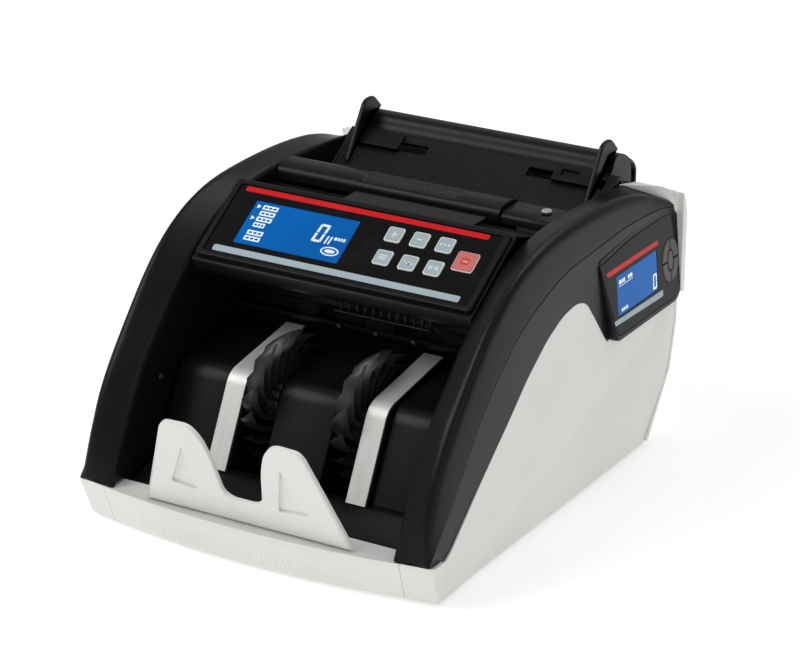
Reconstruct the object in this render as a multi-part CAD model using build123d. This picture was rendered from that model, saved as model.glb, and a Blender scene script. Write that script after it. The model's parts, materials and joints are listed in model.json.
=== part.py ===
"""Desk-top banknote counting machine: front stacker, rear hopper, tilted key panel, side display.

Frame: +Z up, the front (stacker side) faces -Y, +X is the viewer's right.  The origin is on the
table under the middle of the machine.  Most pieces are drawn in a side view whose two numbers are
"back", the distance behind the base's front corners, and "up", the height above its underside.
"""
import os
from math import acos, atan2, cos, hypot, radians, sin

from build123d import *

# ---------------------------------------------------------------- driving dimensions (mm)
FRONT = 135.0          # the origin lies this far behind the base's front corners
FOOT_LIFT = 2.0        # the feet hold the base this far off the table
HALF_WIDTH = 121.8     # outside of the side walls
BASE_HALF = 120.0      # half width at the base's lower edge
WALL = 3.0             # moulded wall thickness
INNER = 97.0           # inside faces of the two arches
HEAD_HALF = 96.7       # half width of everything fitted between the arches
COLLAR = 125.6         # the rear cover reaches this far out behind the side display
LIP_TOP = 26.0         # height of the front ledge
LIP_HALF = 100.3       # half width of the loose lip piece
SEAM = 0.3             # gap at a parting line
PLATE_IN, PLATE_OUT = 103.0, 105.0       # faces of the steel frame plates

CREST = [(-11, 28), (-2.4, 66), (32, 115.4), (74, 156), (116, 174.2), (156, 177.8), (205, 177),
         (240, 171.8), (262, 166), (294.9, 150.5)]      # top line of the arches, side view
SEAM_LINE = [(8, 26.6), (42, 55), (77, 82), (100, 102), (124, 118), (150, 127)]
SEAM_LEFT_END = [(205, 139), (262, 144), (294.9, 141)]   # the left seam runs to the rear
SEAM_RIGHT_END = [(176, 119), (193, 89)]   # the right seam drops in front of the pod
REAR_LINE = [(262, 0), (291, 40), (298.5, 70), (298.5, 142), (295.5, 157), (286, 162.5),
             (258, 169)]                  # outside of the rear cover, bottom to top
SHOULDER = [(97, 262), (121.8, 294.9)]    # the arch's rear end in plan: X and back

PANEL_TILT = 32.4                         # slope of the key panel
PANEL_AT = (83.1, 149.0)                  # lower edge of the panel face
PANEL_HALF, PANEL_LOW, PANEL_HIGH = 95.3, -6.0, 54.0
POD_TILT = 5.0                            # the side display looks up by this angle
POD_AT = (240.0, 120.0)
POD_X = 121.7
TRAY_TILT = 33.0
TRAY_AT = (203.0, 134.0)                  # lower end of the hopper tray
TRAY_LENGTH = 75.0
HUMP_HALF = 90.3                          # half width of the tray's raised rim

BAR_RADIUS = {"wheel": 4.0, "feed": 4.0, "pickup": 3.0, "transport": 4.0, "pinch": 3.0,
              "separation": 3.0, "motor": 3.0}
SHAFT = {"wheel": (74.0, 66.0), "feed": (196.0, 108.0), "pickup": (229.0, 137.0),
         "transport": (150.0, 92.0), "pinch": (140.4, 111.0), "separation": (174.2, 126.0),
         "motor": (235.0, 66.0)}
ROLLER = {"feed": 20.0, "pickup": 14.0, "transport": 14.0, "pinch": 7.0, "separation": 8.0}
WHEEL_RADIUS = 44.0
BLADES = 12
POD_FOOT = 86.5                           # lower edge of the pod
RUN = 0.05                                # running clearance of a shaft in its bearing
BELT = 1.4                                # belt thickness
KEY = 11.0
KEY_HEIGHT = 3.2
KEY_GAP = 0.35
GUIDE_X = 84.0

parts = {}


# ---------------------------------------------------------------- drawing helpers
def yz(back, up):
    """Side-view numbers to the machine's Y and Z."""
    return back - FRONT, up + FOOT_LIFT


def side_face(wires):
    """A face in the side view from lines and curves that close."""
    return Plane.YZ * make_face(wires)


def slab(face, x0, x1):
    """A side-view face thickened from x0 to x1."""
    return Pos(x0, 0, 0) * extrude(face, amount=x1 - x0, dir=(1, 0, 0))


def prism(points, x0, x1):
    """A straight-sided side-view outline thickened from x0 to x1."""
    return slab(side_face(Polyline(*[yz(*p) for p in points], close=True)), x0, x1)


def block(x0, x1, back0, back1, up0, up1):
    """A box between two corners."""
    y0, z0 = yz(back0, up0)
    y1, z1 = yz(back1, up1)
    return Pos((x0 + x1) / 2, (y0 + y1) / 2, (z0 + z1) / 2) * Box(x1 - x0, y1 - y0, z1 - z0)


def rod(at, radius, x0, x1):
    """A cylinder along X."""
    y, z = yz(*at)
    return Pos((x0 + x1) / 2, y, z) * Rot(0, 90, 0) * Cylinder(radius, x1 - x0)


def offset_line(points, distance):
    """A polyline moved sideways, to the left of its direction, with mitred corners."""
    moved = []
    for i, (a, b) in enumerate(points):
        a0, b0 = points[max(i - 1, 0)]
        a1, b1 = points[min(i + 1, len(points) - 1)]
        normals = []
        for (pa, pb), (qa, qb) in (((a0, b0), (a, b)), ((a, b), (a1, b1))):
            length = hypot(qa - pa, qb - pb)
            if length:
                normals.append((-(qb - pb) / length, (qa - pa) / length))
        na = sum(n[0] for n in normals) / len(normals)
        nb = sum(n[1] for n in normals) / len(normals)
        scale = distance / (na * na + nb * nb)
        moved.append((a + na * scale, b + nb * scale))
    return moved


def sheet(points, thickness, x0, x1):
    """A folded sheet along X: its side-view line thickened to the left of its direction."""
    return prism(points + offset_line(points, thickness)[::-1], x0, x1)


def both(solid):
    """A solid and its mirror image in the middle plane."""
    return [solid, mirror(solid, about=Plane.YZ)]


def save(node, *solids):
    """Keeps the solids of one node."""
    parts[node] = list(solids)


# ---------------------------------------------------------------- tilted working planes
def panel_plane(raised=0.0):
    """The key panel: local x is X, local y runs up the slope."""
    tilt = radians(PANEL_TILT)
    normal = (0, -sin(tilt), cos(tilt))
    y, z = yz(*PANEL_AT)
    return Plane(origin=(0, y + normal[1] * raised, z + normal[2] * raised), x_dir=(1, 0, 0),
                 z_dir=normal)


def pod_plane(raised=0.0):
    """The side display: local x runs to the rear, local y up."""
    tilt = radians(POD_TILT)
    y, z = yz(*POD_AT)
    return Plane(origin=(POD_X + cos(tilt) * raised, y, z + sin(tilt) * raised),
                 x_dir=(0, 1, 0), z_dir=(cos(tilt), 0, sin(tilt)))


def tray_plane(raised=0.0):
    """The hopper tray: local x is X, local y runs up to the rear."""
    tilt = radians(TRAY_TILT)
    y, z = yz(*TRAY_AT)
    return Plane(origin=(0, y - sin(tilt) * raised, z + cos(tilt) * raised), x_dir=(1, 0, 0),
                 z_dir=(0, -sin(tilt), cos(tilt)))


def on(plane, x0, x1, y0, y1, z0, z1, corner=0.0):
    """A box on a working plane, with its upright edges rounded."""
    size = Box(x1 - x0, y1 - y0, z1 - z0)
    if corner:
        size = fillet(size.edges().filter_by(Axis.Z), corner)
    return plane * Pos((x0 + x1) / 2, (y0 + y1) / 2, (z0 + z1) / 2) * size


# ---------------------------------------------------------------- casing
def crest_solid(x0, x1, lower, inset=0.0):
    """What lies between the arches' top line and a lower line, from x0 to x1."""
    top = [yz(*p) for p in offset_line(CREST, -inset)]
    low = [yz(*p) for p in lower]
    crest = Spline(*top)
    return slab(side_face([crest, Polyline(*([top[-1]] + low[::-1] + [top[0]]))]), x0, x1)


def arch(seam_end):
    """One black arch for X > 0: outer skin, and the cheek beside the stacker."""
    lower = [(-11, 26.3)] + SEAM_LINE + seam_end
    skin = crest_solid(INNER, HALF_WIDTH, lower)
    skin = fillet(skin.edges().filter_by(GeomType.BSPLINE).sort_by(Axis.X)[-1], 7.0)
    skin = fillet(skin.edges().filter_by(GeomType.BSPLINE).sort_by(Axis.X)[0], 5.0)
    under = [(-11, -20), (294.9, -20)]
    skin -= crest_solid(INNER + WALL, HALF_WIDTH - WALL, under, WALL)
    skin -= prism([(4.3, -1), (4.3, 30), (150, 60), (262, 140), (295, 140), (295, -1)],
                  INNER - 1, INNER + WALL + 0.01)
    cheek = crest_solid(INNER, INNER + WALL, [(-7, 27), (4.5, 27), (4.5, 4), (150, 4)] +
                        [(156, 120), (255, 120)], 6.0)
    return skin + cheek


def shoulder(gap=0.0):
    """Everything behind the slanted line where an arch meets the rear cover, for X > 0."""
    (x0, b0), (x1, b1) = SHOULDER
    slope = (b1 - b0) / (x1 - x0)
    corners = [(x0 - 2, b0 - 2 * slope - gap), (x1 + 2, b1 + 2 * slope - gap), (x1 + 2, 330),
               (x0 - 2, 330)]
    y_of = [(x, b - FRONT) for x, b in corners]
    return Pos(0, 0, 130) * extrude(make_face(Polyline(*y_of, close=True)), amount=80)


def shaft_holes(solid, side):
    """Clears every shaft through a wall on one side of the machine."""
    for name, at in SHAFT.items():
        solid -= rod(at, BAR_RADIUS[name] + 2.5, side * 106 - 11, side * 106 + 11)
    return solid


def pod():
    """The bulge of the right arch that carries the side display."""
    outline = [(186, 146), (206, POD_FOOT), (289, POD_FOOT), (294.9, 93), (294.9, 137),
               (292.8, 146), (268, 152), (205, 154)]
    solid = prism(outline, HALF_WIDTH - WALL - 2, 130)
    solid -= on(pod_plane(1.2), -80, 80, -60, 60, 0, 20)
    solid -= prism([(197, 141), (211, 92), (285, 92), (289, 96), (289, 146), (205, 148)],
                   HALF_WIDTH - WALL - 3, HALF_WIDTH - WALL)
    return solid


def pod_outline(grow=0.0):
    """The side display panel's outline on its plane."""
    points = [(-50, 22), (-30, -29.5), (48.5, -29.5), (54.8, -23), (54.8, 24), (38, 27.3),
              (-11, 27)]
    return make_face(Polyline(*offset_line(points + points[:1], -grow)[:-1], close=True))


def lip_slice(x0, x1, inset=0.0, low=0.0):
    """The bowed front edge between two X values; its face leans out as it rises."""
    levels = []
    for up, ends, middle in ((low, 0.0, -13.2), (LIP_TOP - inset, -10.2, -22.5)):
        (y_end, z), (y_mid, _) = yz(ends + inset, up), yz(middle + inset, up)
        y_back = yz(4.0, up)[0]
        half = BASE_HALF + (HALF_WIDTH - BASE_HALF) * up / LIP_TOP
        bow = ThreePointArc((-half, y_end), (0, y_mid), (half, y_end))
        rest = Polyline((half, y_end), (half, y_back), (-half, y_back), (-half, y_end))
        levels.append(Pos(0, 0, z) * make_face([bow, rest]))
    y0, z0 = yz(-40, -5)
    keep = Pos((x0 + x1) / 2, y0 + 40, z0 + 40) * Box(x1 - x0, 80, 80)
    return loft(levels) & keep


def lip_shell(x0, x1):
    """The hollow front edge, open underneath; an end at the machine's side has a wall."""
    end = x1 - WALL if x1 > LIP_HALF else x1
    return lip_slice(x0, x1) - lip_slice(x0, end, WALL, -0.01)


def side_shell(seam_end):
    """One white side wall for X > 0, with its front corner."""
    rear = offset_line(REAR_LINE, WALL + SEAM)[:4]
    (b0, u0), (b1, u1) = rear[:2]
    rear[0] = (b0 - u0 * (b1 - b0) / (u1 - u0), 0)
    seam = offset_line(SEAM_LINE + seam_end, -SEAM)
    if seam_end is SEAM_RIGHT_END:
        rear = rear[:3] + [(rear[2][0], POD_FOOT - SEAM), (200, POD_FOOT - SEAM)]
        seam[-1] = (191.5, 89)
    outline = [(0.5, 0)] + rear + seam[::-1] + [(0.5, LIP_TOP - 0.1)]
    wall = prism(outline, BASE_HALF - WALL - 2, HALF_WIDTH + 2)
    section = [(BASE_HALF - WALL, 0), (BASE_HALF, 0), (HALF_WIDTH, LIP_TOP), (HALF_WIDTH, 180),
               (HALF_WIDTH - WALL, 180), (HALF_WIDTH - WALL, LIP_TOP)]
    outline = Polyline(*[(x, z + FOOT_LIFT) for x, z in section], close=True)
    wall &= extrude(Plane.XZ * make_face(outline), amount=400, both=True)
    return wall + lip_shell(LIP_HALF + SEAM, HALF_WIDTH + 1)


def make_casing():
    left = mirror(arch(SEAM_LEFT_END) - shoulder(SEAM), about=Plane.YZ)
    save("left_arch", shaft_holes(left, -1))
    right = arch(SEAM_RIGHT_END + [(294.9, 89)]) - shoulder(SEAM) + pod()
    right -= pod_plane() * extrude(pod_outline(0.4), amount=20)
    right -= pod_plane(-1.8) * extrude(pod_outline(-2.0), amount=20)
    right -= pod_plane(-1.8) * Pos(*RING_AT, 0) * extrude(ring_opening(), amount=20)
    save("right_arch", shaft_holes(right, 1))
    save("left_side_shell", mirror(side_shell(SEAM_LEFT_END), about=Plane.YZ))
    save("right_side_shell", side_shell(SEAM_RIGHT_END))
    save("front_lip", lip_shell(-LIP_HALF, LIP_HALF))
    floor = block(-116.5, 116.5, 4.3, 257, 0, WALL)
    floor += block(-96.5, 96.5, 4.3, 7.3, WALL, 22)
    save("base_pan", floor)
    save("rear_cover", rear_cover())
    save("rubber_feet", *[foot(x, back) for x in (-95, 95) for back in (22, 240)])


def foot(x, back):
    """A round rubber foot that reaches the table."""
    lift = (Align.CENTER, Align.CENTER, Align.MIN)
    return Pos(x, yz(back, 0)[0], 0) * Cylinder(7, FOOT_LIFT, align=lift)


def rear_cover():
    """The white back wall and top corners, with vents and the power module's opening."""
    wall = sheet(REAR_LINE, WALL, -HALF_WIDTH, HALF_WIDTH)
    keep = shoulder(0)
    wall -= block(-140, 140, 240, 292, 150, 180) - keep - mirror(keep, about=Plane.YZ)
    wall -= block(-HEAD_HALF - SEAM, HEAD_HALF + SEAM, 240, 292, 150, 180)
    for i in range(7):
        wall -= block(-70, 20, 290, 305, 84 + i * 7.5, 87 + i * 7.5)
    wall -= block(57.7, 86.3, 290, 305, 77.7, 124.3)
    collar = [(295.3, 92), (300.5, 90), (301, 110), (301, 142), (298.4, 152.5), (295.3, 157.4)]
    return wall + prism(collar, HALF_WIDTH - WALL, COLLAR)


# ---------------------------------------------------------------- front stacker
def make_stop_plate():
    """Twin fins that hold the stack of notes, joined by a low wall."""
    half = [(0, 0), (71, 0), (49, 60.5), (45, 64), (28, 65), (21.5, 57), (17, 43), (13, 20),
            (8, 16.3), (0, 16.3)]
    outline = half + [(-x, s) for x, s in half[::-1] if x]
    y, z = yz(-12.5, LIP_TOP + SEAM / 3)
    plane = Plane(origin=(0, y, z), x_dir=(1, 0, 0), z_dir=(0, -56.7, -16.7))
    plate = extrude(plane * make_face(Polyline(*outline, close=True)), amount=3.5,
                    dir=-plane.z_dir)
    plate -= block(-90, 90, -60, 60, -40, LIP_TOP + SEAM / 3)
    save("stop_plate", plate)


def make_stacker():
    """The dark front and floor of the stacker, its steel strips and the exit ledge."""
    low_face = [(31.5, 3.3), (31.5, 34), (55.5, 79), (59, 83.5), (65, 85.5), (118, 91)]
    high_face = [(27.5, 3.3), (27.5, 33.3), (53.4, 83.6), (58, 85.9), (118, 95)]
    solid = block(-93, 93, 118, 120.5, 3.3, 91)
    for x0, x1, face in ((-93, -56.2, low_face), (-20, 20, low_face), (56.2, 93, low_face),
                         (-56.2, -41, high_face), (41, 56.2, high_face)):
        hollow = [(b + WALL, u - WALL) for b, u in face]
        hollow[0] = (hollow[0][0], 2)
        solid += prism(face + [(118, 3.3)], x0, x1)
        solid -= prism(hollow + [(118.1, 2)], x0 + WALL, x1 - WALL)
    solid += sheet([(4.6, 25.8), (27.5, 33.3), (34, 33.3)], -WALL, -93, 93)
    solid -= rod(SHAFT["wheel"], BAR_RADIUS["wheel"] + 2.5, -100, 100)
    save("stacker_block", solid)
    line = [(26.9, 34), (52.7, 84.2), (57.8, 86.7), (117.5, 95.7)]
    strip = sheet(line, -0.7, 42.0, 55.2)
    save("note_strips", *both(strip))
    ledge = sheet([(121, 3.3), (121, 96.4), (113.5, 101.5), (113.5, 104.5)], -2.2, -93, 93)
    save("throat_plate", ledge)


def wheel_blade(angle):
    """One curved blade, swept back from the hub to the rim."""
    y, z = yz(*SHAFT["wheel"])
    hub, mid, rim = 15.5, 31.0, WHEEL_RADIUS
    lag = (0.0, -16.0, -44.0)
    pts = []
    for extra in (0.0, 1.0):
        pts.append([(y + r * cos(radians(angle + d + extra * 60 / r)),
                     z + r * sin(radians(angle + d + extra * 60 / r)))
                    for r, d in zip((hub, mid, rim), lag)])
    inner, outer = pts
    a = ThreePointArc(inner[0], inner[1], inner[2])
    b = ThreePointArc(outer[2], outer[1], outer[0])
    return Plane.YZ * make_face([a, Line(inner[2], outer[2]), b, Line(outer[0], inner[0])])


def make_wheels():
    """The two stacker wheels on their shaft."""
    wheels = []
    for x0, x1 in ((-37.5, -24.5), (24.5, 37.5)):
        wheel = rod(SHAFT["wheel"], 16.0, x0, x1)
        for i in range(BLADES):
            wheel += slab(wheel_blade(i * 360 / BLADES), x0, x1)
        wheels.append(wheel - rod(SHAFT["wheel"], BAR_RADIUS["wheel"], x0 - 1, x1 + 1))
    save("stacker_wheels", *wheels)
    save("wheel_shaft", rod(SHAFT["wheel"], BAR_RADIUS["wheel"], -114, 108))
    save("wheel_pulley", pulley("wheel", 14.0, -113.4, -110.0))


# ---------------------------------------------------------------- rollers and drive
def pulley(name, radius, x0, x1):
    """A belt pulley bored for its shaft."""
    return rod(SHAFT[name], radius, x0, x1) - rod(SHAFT[name], BAR_RADIUS[name], x0 - 1, x1 + 1)


def loop(one, r1, two, r2):
    """The side-view face inside a taut loop round two circles."""
    (y1, z1), (y2, z2) = yz(*one), yz(*two)
    heading = atan2(z2 - z1, y2 - y1)
    spread = acos((r1 - r2) / hypot(y2 - y1, z2 - z1))
    corners = []
    for (y, z), r, turns in (((y1, z1), r1, (-1, 1)), ((y2, z2), r2, (1, -1))):
        for turn in turns:
            corners.append((y + r * cos(heading + turn * spread),
                            z + r * sin(heading + turn * spread)))
    return (Pos(y1, z1) * Circle(r1) + Pos(y2, z2) * Circle(r2) +
            make_face(Polyline(*corners, close=True)))


def belt(first, r1, second, r2, x0, x1):
    """A flat belt round two pulleys."""
    inside = 0.3
    outer = loop(SHAFT[first], r1 + inside + BELT, SHAFT[second], r2 + inside + BELT)
    inner = loop(SHAFT[first], r1 + inside, SHAFT[second], r2 + inside)
    return slab(Plane.YZ * (outer - inner), x0, x1)


def make_drive():
    """Feed, pickup, transport and pinch rollers, the motor and the belts."""
    tyres = [rod(SHAFT["feed"], ROLLER["feed"], x0, x1) - rod(SHAFT["feed"], 4.0, x0, x1)
             for x0, x1 in ((-42, -22), (22, 42))]
    save("feed_rollers", *tyres)
    save("feed_shaft", rod(SHAFT["feed"], 4.0, -110, 113.4) +
         rod(SHAFT["feed"], 9.0, 106.4, 113.4))
    save("feed_pulley", pulley("feed", 16.0, -109.6, -106.4))
    pickup = rod(SHAFT["pickup"], 3.0, -108, 110) + rod(SHAFT["pickup"], 9.0, 106.4, 109.6)
    for x0, x1 in ((-40, -24), (24, 40)):
        pickup += rod(SHAFT["pickup"], ROLLER["pickup"], x0, x1)
    save("pickup_roller", pickup)
    transport = rod(SHAFT["transport"], 4.0, -108, 113.4)
    transport += rod(SHAFT["transport"], 9.0, 110.2, 113.4)
    for x0, x1 in ((-60, -44), (-10, 10), (44, 60)):
        transport += rod(SHAFT["transport"], ROLLER["transport"], x0, x1)
    save("transport_roller", transport)
    pinch = rod(SHAFT["pinch"], 3.0, -108, 108)
    for x0, x1 in ((-60, -44), (-10, 10), (44, 60)):
        pinch += rod(SHAFT["pinch"], ROLLER["pinch"], x0, x1)
    save("pinch_roller", pinch)
    save("separation_roller", rod(SHAFT["separation"], 3.0, -102.9, 102.9) +
         rod(SHAFT["separation"], ROLLER["separation"], -21, 21))
    save("motor_pulley", rod(SHAFT["motor"], 3.0, -114, -106) +
         rod(SHAFT["motor"], 9.0, -113.4, -106.4))
    save("main_motor", rod(SHAFT["motor"], 20.0, -PLATE_IN, -52) + rod(SHAFT["motor"], 6.0, -52, -46))
    save("drive_belts", belt("motor", 9.0, "feed", 16.0, -109.4, -106.6),
         belt("motor", 9.0, "wheel", 14.0, -113.2, -110.2),
         belt("feed", 9.0, "pickup", 9.0, 106.6, 109.4),
         belt("feed", 9.0, "transport", 9.0, 110.4, 113.2))


def make_frame():
    """Two steel side plates and the bearings pressed into them."""
    outline = [(42, 6), (252, 6), (252, 118), (222, 152), (150, 152), (92, 138), (48, 98)]
    plate = prism(outline, PLATE_IN, PLATE_OUT)
    rings = []
    for name, at in SHAFT.items():
        if name in ("motor", "separation"):
            continue
        plate -= rod(at, 8.0, 100, 108)
        for side in (-1, 1):
            x0, x1 = sorted((side * PLATE_IN, side * (PLATE_OUT + 1)))
            ring = rod(at, 8.0, x0, x1) - rod(at, BAR_RADIUS[name] + RUN, x0 - 1, x1 + 1)
            rings.append(ring)
    plates = both(plate)
    plates[1] -= rod(SHAFT["motor"], 5.0, -108, -100)
    save("frame_plates", *plates)
    save("shaft_bearings", *rings)


# ---------------------------------------------------------------- head, panel and keys
def make_head():
    """The black head between the arches, with its panel and keys."""
    slope = radians(PANEL_TILT)
    depth = 3.4
    seat = []
    for along in (PANEL_LOW, PANEL_HIGH + 2.0):
        seat.append((PANEL_AT[0] + along * cos(slope) + depth * sin(slope),
                     PANEL_AT[1] + along * sin(slope) - depth * cos(slope)))
    low, high = seat
    line = [(117, 114), (117, 126), (110, 129.5), (79, 134), (76.5, 142.5), low, high,
            (134.5, 166), (170.5, 163)]
    save("head_housing", sheet(line, -2.2, -HEAD_HALF, HEAD_HALF))
    save("deck_cover", block(-36, 56, 139, 168.5, 166.6, 168.6))
    frame = on(panel_plane(), -PANEL_HALF, PANEL_HALF, PANEL_LOW + 0.4, PANEL_HIGH, -3.3, 0.8, 3.0)
    save("panel_bezel", frame - on(panel_plane(), -91.3, 91.3, -2.6, 50.6, -6, 6, 1.5))
    overlay = on(panel_plane(), -91.1, 91.1, -2.4, 50.4, -1.2, 0, 1.4)
    overlay -= on(panel_plane(), -75.3, -1.7, 7.8, 41.2, -3, 3, 0.8)
    for x, v, size in KEYS.values():
        reach = size / 2 + KEY_GAP
        overlay -= on(panel_plane(), x - reach, x + reach, v - reach, v + reach, -3, 3, 1.9)
    save("panel_overlay", overlay)
    save("main_display", on(panel_plane(), -75.0, -2.0, 8.1, 40.9, -3.2, -0.2, 0.6))
    for name, (x, v, size) in KEYS.items():
        save(name, on(panel_plane(), x - size / 2, x + size / 2, v - size / 2, v + size / 2,
                      0.7 - KEY_HEIGHT, 0.7, 1.6))


KEYS = {"key_plus": (23.9, 36.3, KEY), "key_minus": (41.2, 36.3, KEY),
        "key_batch": (58.5, 36.3, KEY), "key_add": (24.6, 18.8, KEY), "key_uv": (41.9, 18.8, KEY),
        "key_magnetic": (59.1, 18.8, KEY), "key_restart": (76.2, 27.6, 14.2)}
RING_AT = (42.6, -3.5)
RING_WIDE, RING_TALL = 11.0, 14.0         # half sizes of the oval key pad
RING_BAND = 6.6


def ring_opening():
    """The oval opening that the ring keys move in."""
    return Ellipse(RING_WIDE + KEY_GAP, RING_TALL + KEY_GAP)


def make_side_display():
    """The pod's panel, display, four ring keys and the key in their middle."""
    bezel = pod_plane() * extrude(pod_outline(), amount=1.5)
    bezel -= on(pod_plane(), -29.3, 25.3, -17.3, 8.8, -3, 3, 0.6)
    centre = Pos(RING_AT[0], RING_AT[1], 0)
    bezel -= pod_plane(-3) * centre * extrude(ring_opening(), amount=9)
    save("side_bezel", bezel)
    save("side_display", on(pod_plane(), -29.0, 25.0, -17.0, 8.5, -1.6, 1.2, 0.4))
    gap = 0.5
    ring = Ellipse(RING_WIDE, RING_TALL) - Ellipse(RING_WIDE - RING_BAND, RING_TALL - RING_BAND)
    ring = ring - Rectangle(2 * gap, 40) - Rectangle(40, 2 * gap)
    sectors = sorted(ring.faces(), key=lambda f: (f.center().Y < 0, f.center().X))
    names = ("pad_key_upper_front", "pad_key_upper_rear", "pad_key_lower_front",
             "pad_key_lower_rear")
    for name, face in zip(names, sectors):
        save(name, pod_plane(-0.6) * centre * extrude(face, amount=2.7, dir=(0, 0, 1)))
    hub = Ellipse(RING_WIDE - RING_BAND - 2 * gap, RING_TALL - RING_BAND - 2 * gap)
    save("pad_key_centre", pod_plane(-0.6) * centre * extrude(hub, amount=2.7))


def make_fittings():
    """The comb and rod at the exit, sensors, boards and the power module."""
    teeth = block(-14, 52, 112.6, 114.8, 122, 126)
    for i in range(12):
        x = -12 + i * 5.6
        teeth += prism([(112.6, 126), (109.5, 120), (109, 113), (110.2, 113), (110.8, 119.6),
                        (114, 124)], x, x + 2.2)
    save("exit_comb", teeth, rod((106.8, 115.5), 0.8, -14, 52))
    slope = panel_plane(-9.0)
    save("main_board", on(slope, -86, 86, 6, 48, -1.6, 0))
    save("sensor_bar", block(-62, 62, 124, 131, 86, 92))
    save("uv_lamp", rod((156, 138), 4.0, -55, 55))
    save("transformer", block(22, 78, 186, 232, 3.2, 46))
    body = block(58, 86, 272, 299.5, 78, 124) - block(61.5, 82.5, 283, 300, 80.5, 97.5)
    body -= block(61.5, 82.5, 287, 300, 103, 121)
    for x, up in ((66, 86), (78, 86), (72, 92)):
        body += block(x - 0.8, x + 0.8, 282, 296, up - 2, up + 2)
    save("mains_inlet", body)
    save("power_switch", prism([(291, 104.5), (301, 104.5), (298.5, 112), (300, 119), (291, 119)],
                               62, 82))


# ---------------------------------------------------------------- hopper
def make_hopper():
    """The tray and its rim, the front bar, the two guides and their pinion."""
    tilt = radians(TRAY_TILT)
    end = (TRAY_AT[0] + TRAY_LENGTH * cos(tilt), TRAY_AT[1] + TRAY_LENGTH * sin(tilt))
    hump = [TRAY_AT, end, (268.5, 180.5), (271.5, 182.6), (279, 182.6), (283.5, 180.5),
            (296, 172), (299.8, 167), (299.8, 150)]
    flank = [TRAY_AT, (263.5, 173.3), (269, 166.5), (286, 162), (291.5, 158.5)]
    tray = sheet(hump, -2.2, -HUMP_HALF, HUMP_HALF)
    for side in both(sheet(flank, -2.2, HUMP_HALF, HEAD_HALF)):
        tray += side
    for side in (-1, 1):
        x0, x1 = sorted((side * 36, side * 90))
        tray -= on(tray_plane(), x0, x1, 59, 66, -8, 8)
        x0, x1 = sorted((side * 23, side * 41))
        tray -= on(tray_plane(), x0, x1, 11.5, 35.5, -8, 8)
    save("hopper_tray", tray)
    bar = prism([(172.5, 164), (174, 170), (179, 173.4), (190, 174), (197, 172), (200, 168),
                 (197.5, 162), (195, 143), (192.8, 143), (195, 164)], -HEAD_HALF, 61)
    tab = prism([(172.5, 164), (174, 169), (179, 171.6), (196, 171.6), (199, 168), (197, 164)],
                62, HEAD_HALF)
    y, z = yz(184, 0)
    save("cross_bar", bar, tab - Pos(88, y, 170) * Cylinder(2.6, 20))
    save("thickness_screw", Pos(88, y, FOOT_LIFT + 172.9) * Cylinder(3.4, 2.2) +
         Pos(88, y, FOOT_LIFT + 168) * Cylinder(2.5, 9))
    half = guide()
    save("right_guide", half)
    save("left_guide", guide(-1))
    hub = tray_plane(-6.5) * Pos(0, 62.5, 0) * Cylinder(5.0, 4)
    save("guide_pinion", hub)


def guide(side=1):
    """A side guide standing on the tray, with its stem and toothless rack."""
    fin = prism([(237, 158.2), (259, 191.5), (263, 193.2), (270.5, 193.2), (274, 190),
                 (280.5, 183.6), (265, 183.6), (262.5, 176.6)], GUIDE_X, GUIDE_X + 3)
    foot = on(tray_plane(), 55, GUIDE_X + 3, 58, 70.5, 0.5, 3)
    stem = on(tray_plane(), GUIDE_X - 9, GUIDE_X + 1, 60.5, 64.5, -4.5, 1)
    v0, v1 = (68.0, 71.0) if side > 0 else (54.0, 57.0)
    rack = on(tray_plane(), -18, GUIDE_X + 1, v0, v1, -8.5, -4.5)
    arm = on(tray_plane(), GUIDE_X - 9, GUIDE_X + 1, 54, 71, -6.5, -4.5)
    solid = fin + foot + stem + arm + rack
    return solid if side > 0 else mirror(solid, about=Plane.YZ)


def make_screws():
    """Small visible screws."""
    y, z = yz(42.5, 77.6)
    cheek = Pos(-INNER + 0.5, y, z) * Rot(0, 90, 0) * Cylinder(2.6, 1.0)
    heads = [cheek, mirror(cheek, about=Plane.YZ)]
    for x in (-14, 12, 38):
        heads.append(Pos(x, yz(110.9, 0)[0], yz(0, 103.2)[1]) * Rot(90, 0, 0) * Cylinder(1.8, 0.8))
    save("case_screws", *heads)


def main():
    make_casing()
    make_stop_plate()
    make_stacker()
    make_wheels()
    make_drive()
    make_frame()
    make_head()
    make_side_display()
    make_fittings()
    make_hopper()
    make_screws()
    os.makedirs("parts", exist_ok=True)
    for node, solids in parts.items():
        pieces = [piece for solid in solids for piece in solid.solids()]
        shape = pieces[0] if len(pieces) == 1 else Compound(children=pieces)
        export_step(shape, f"parts/{node}.step")


main()
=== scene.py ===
"""Looks of a desk-top banknote counting machine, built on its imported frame.

Shapes are drawn in side-view millimetres: X, the distance back from the base's front corners and
the height above the base's underside.  Every shape is worked out as whole arrays and turned into
the frame's metres when its piece is made.
"""
from __future__ import annotations

import json
import logging
import math
from dataclasses import dataclass
from enum import Enum
from typing import Any, Iterable, Sequence

import bmesh
import bpy
import numpy as np
from mathutils import Matrix, Vector
from mathutils.geometry import tessellate_polygon


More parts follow.
